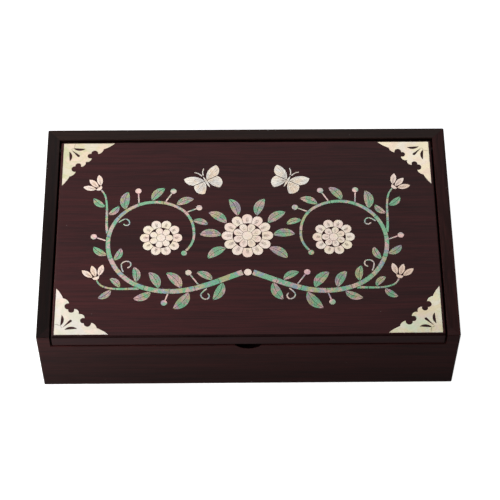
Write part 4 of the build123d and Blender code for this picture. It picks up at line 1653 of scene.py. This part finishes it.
def corner_joint(corner):
    """The joint of one ornament, drawn for the rear right one and turned for the others.

    Each point of it lies so far along one outer edge, and so far in from the edge, from the corner.
    """
    low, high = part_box(f"{corner}_corner_inlay")
    tip_x = high.x if corner.endswith("right") else low.x
    tip_y = high.y if corner.startswith("rear") else low.y
    tip = Vector((tip_x, tip_y, LID_FACE))
    turn = Matrix.Rotation(math.radians(CORNER_TURNS[corner]), 3, "Z")
    return [tip + turn @ Vector((-inward / 1000, -along / 1000, 0)) for along, inward in JOINT_IN_MM]


for corner in CORNER_TURNS:
    engraved(
        f"{corner}_corner_seam", line_object(f"{corner}_seam_line", [corner_joint(corner)]), CUT_TREE,
        f"{corner}_corner_inlay", Step=JOINT_STEP, Margin=JOINT_MARGIN, Cut_width=JOINT_WIDTH,
    )

# %% [markdown]
# ## The floor
#
# The box lies on plain white with hardly a shadow. A floor that is lit would never be as even, and
# light thrown back from it would wash out the dark sides. So the floor glows a little by itself
# and is hidden from reflections and from soft light.

# %% Lay the floor
FLOOR_GLOW = 0.93
FLOOR_HALF_SIDE = 9.0


def floor_finish():
    """Matt white paper with a very faint tooth."""
    finish, w, place = new_finish("white_floor")
    tooth = w.noise(place, scale=900.0)
    colour = w.mix(tooth, (0.46, 0.46, 0.46), (0.50, 0.50, 0.50))
    return completed(
        finish, w, colour, 0.85 + tooth * 0.1,
        Specular_IOR_Level=0.0, Emission_Color=(1.0, 1.0, 1.0), Emission_Strength=FLOOR_GLOW,
    )


def lay_floor():
    """A wide sheet under the box, at the height of its feet."""
    mesh = bmesh.new()
    bmesh.ops.create_grid(mesh, x_segments=8, y_segments=8, size=FLOOR_HALF_SIDE)
    made = mesh_object("studio_floor", mesh)
    made.data.materials.append(floor_finish())
    made.visible_glossy = False
    made.visible_diffuse = False
    return made


studio_floor = lay_floor()
studio_floor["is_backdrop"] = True
print("the floor is", 2 * FLOOR_HALF_SIDE, "m wide")

# %% [markdown]
# ## Lamps
#
# The left of the lid is lighter than the right, and the front board falls off to the right as
# well. A single big lamp would light both sides alike. Three soft lamps share the work: a near
# one at the left, a low one for the left of the front board, and a wide one behind that lays a
# soft shine on the lid.

# %% Set up the lamps
def softbox(name, place, target, width, depth, watts):
    """One large soft lamp that looks at a point."""
    data = bpy.data.lights.new(name, "AREA")
    data.shape = "RECTANGLE"
    data.size, data.size_y = width, depth
    data.energy = watts
    made = linked(bpy.data.objects.new(name, data))
    made.location = place
    made.rotation_euler = (Vector(target) - Vector(place)).to_track_quat("-Z", "Y").to_euler()
    print(name, "gives", watts, "W")


softbox("near_softbox", (-0.60, 0.05, 0.66), (0.0, 0.0, 0.08), width=0.5, depth=0.5, watts=5.2)
softbox("low_softbox", (-0.50, -0.44, 0.25), (-0.05, -0.12, 0.05), width=0.3, depth=0.3, watts=2.8)
softbox("rear_softbox", (0.0, 1.20, 1.40), (0.0, 0.0, 0.09), width=1.5, depth=0.9, watts=4.0)

# %% [markdown]
# ## A pale sky
#
# What lacquer shows is mostly its room. A plain white room would turn the dark boards grey. So
# the camera sees white, but the box is surrounded by a sky that is pale behind it, dimmer
# overhead and dark in front, with a paler stretch low at the left, which the left side reflects.

# %% Set up the sky
SKY_BEHIND = 0.60
SKY_OVERHEAD = 0.24
SKY_FRONT = 0.12
SKY_BELOW_LEFT = 0.50
SKY_BELOW_RIGHT = 0.12


def studio_sky():
    """White for the camera; for the box, pale behind it, dimmer overhead and dark in front."""
    world = bpy.data.worlds.new("studio_sky")
    world.use_nodes = True
    world.node_tree.nodes.clear()
    w = Wiring(world.node_tree)
    way = w.parts(w.node("ShaderNodeTexCoord")["Generated"])
    level = w.span(abs(way["Z"]), 0.05, 0.75, SKY_BEHIND, SKY_OVERHEAD)
    level = SKY_FRONT + (level - SKY_FRONT) * w.span(way["Y"], -0.55, 0.10)
    below = w.span(way["X"], -0.18, -0.01, SKY_BELOW_LEFT, SKY_BELOW_RIGHT)
    level = below + (level - below) * w.span(way["Z"], -0.12, 0.05)
    dim = w.node("ShaderNodeBackground", {"Color": (1.0, 1.0, 1.0), "Strength": level})
    white = w.node("ShaderNodeBackground", {"Color": (1.0, 1.0, 1.0), "Strength": 1.0})
    seen = w.node("ShaderNodeLightPath")["Is Camera Ray"]
    both = w.node("ShaderNodeMixShader", {0: seen, 1: dim[0], 2: white[0]})
    w.node("ShaderNodeOutputWorld", {"Surface": both[0]})
    return world


bpy.context.scene.world = studio_sky()
bpy.context.scene.view_settings.view_transform = "Standard"
print("the sky is", SKY_BEHIND, "behind the box and", SKY_FRONT, "in front of it")

# %% [markdown]
# ## The size at the end
#
# Dressing the box must not change its size. The bounds of the CAD model were kept at the start and its size
# printed there; the size of what is shown is printed here, so that the two can be compared.

# %% Print the shown size
shown_low, shown_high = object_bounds()
print("shown size in mm", in_mm(shown_high - shown_low))
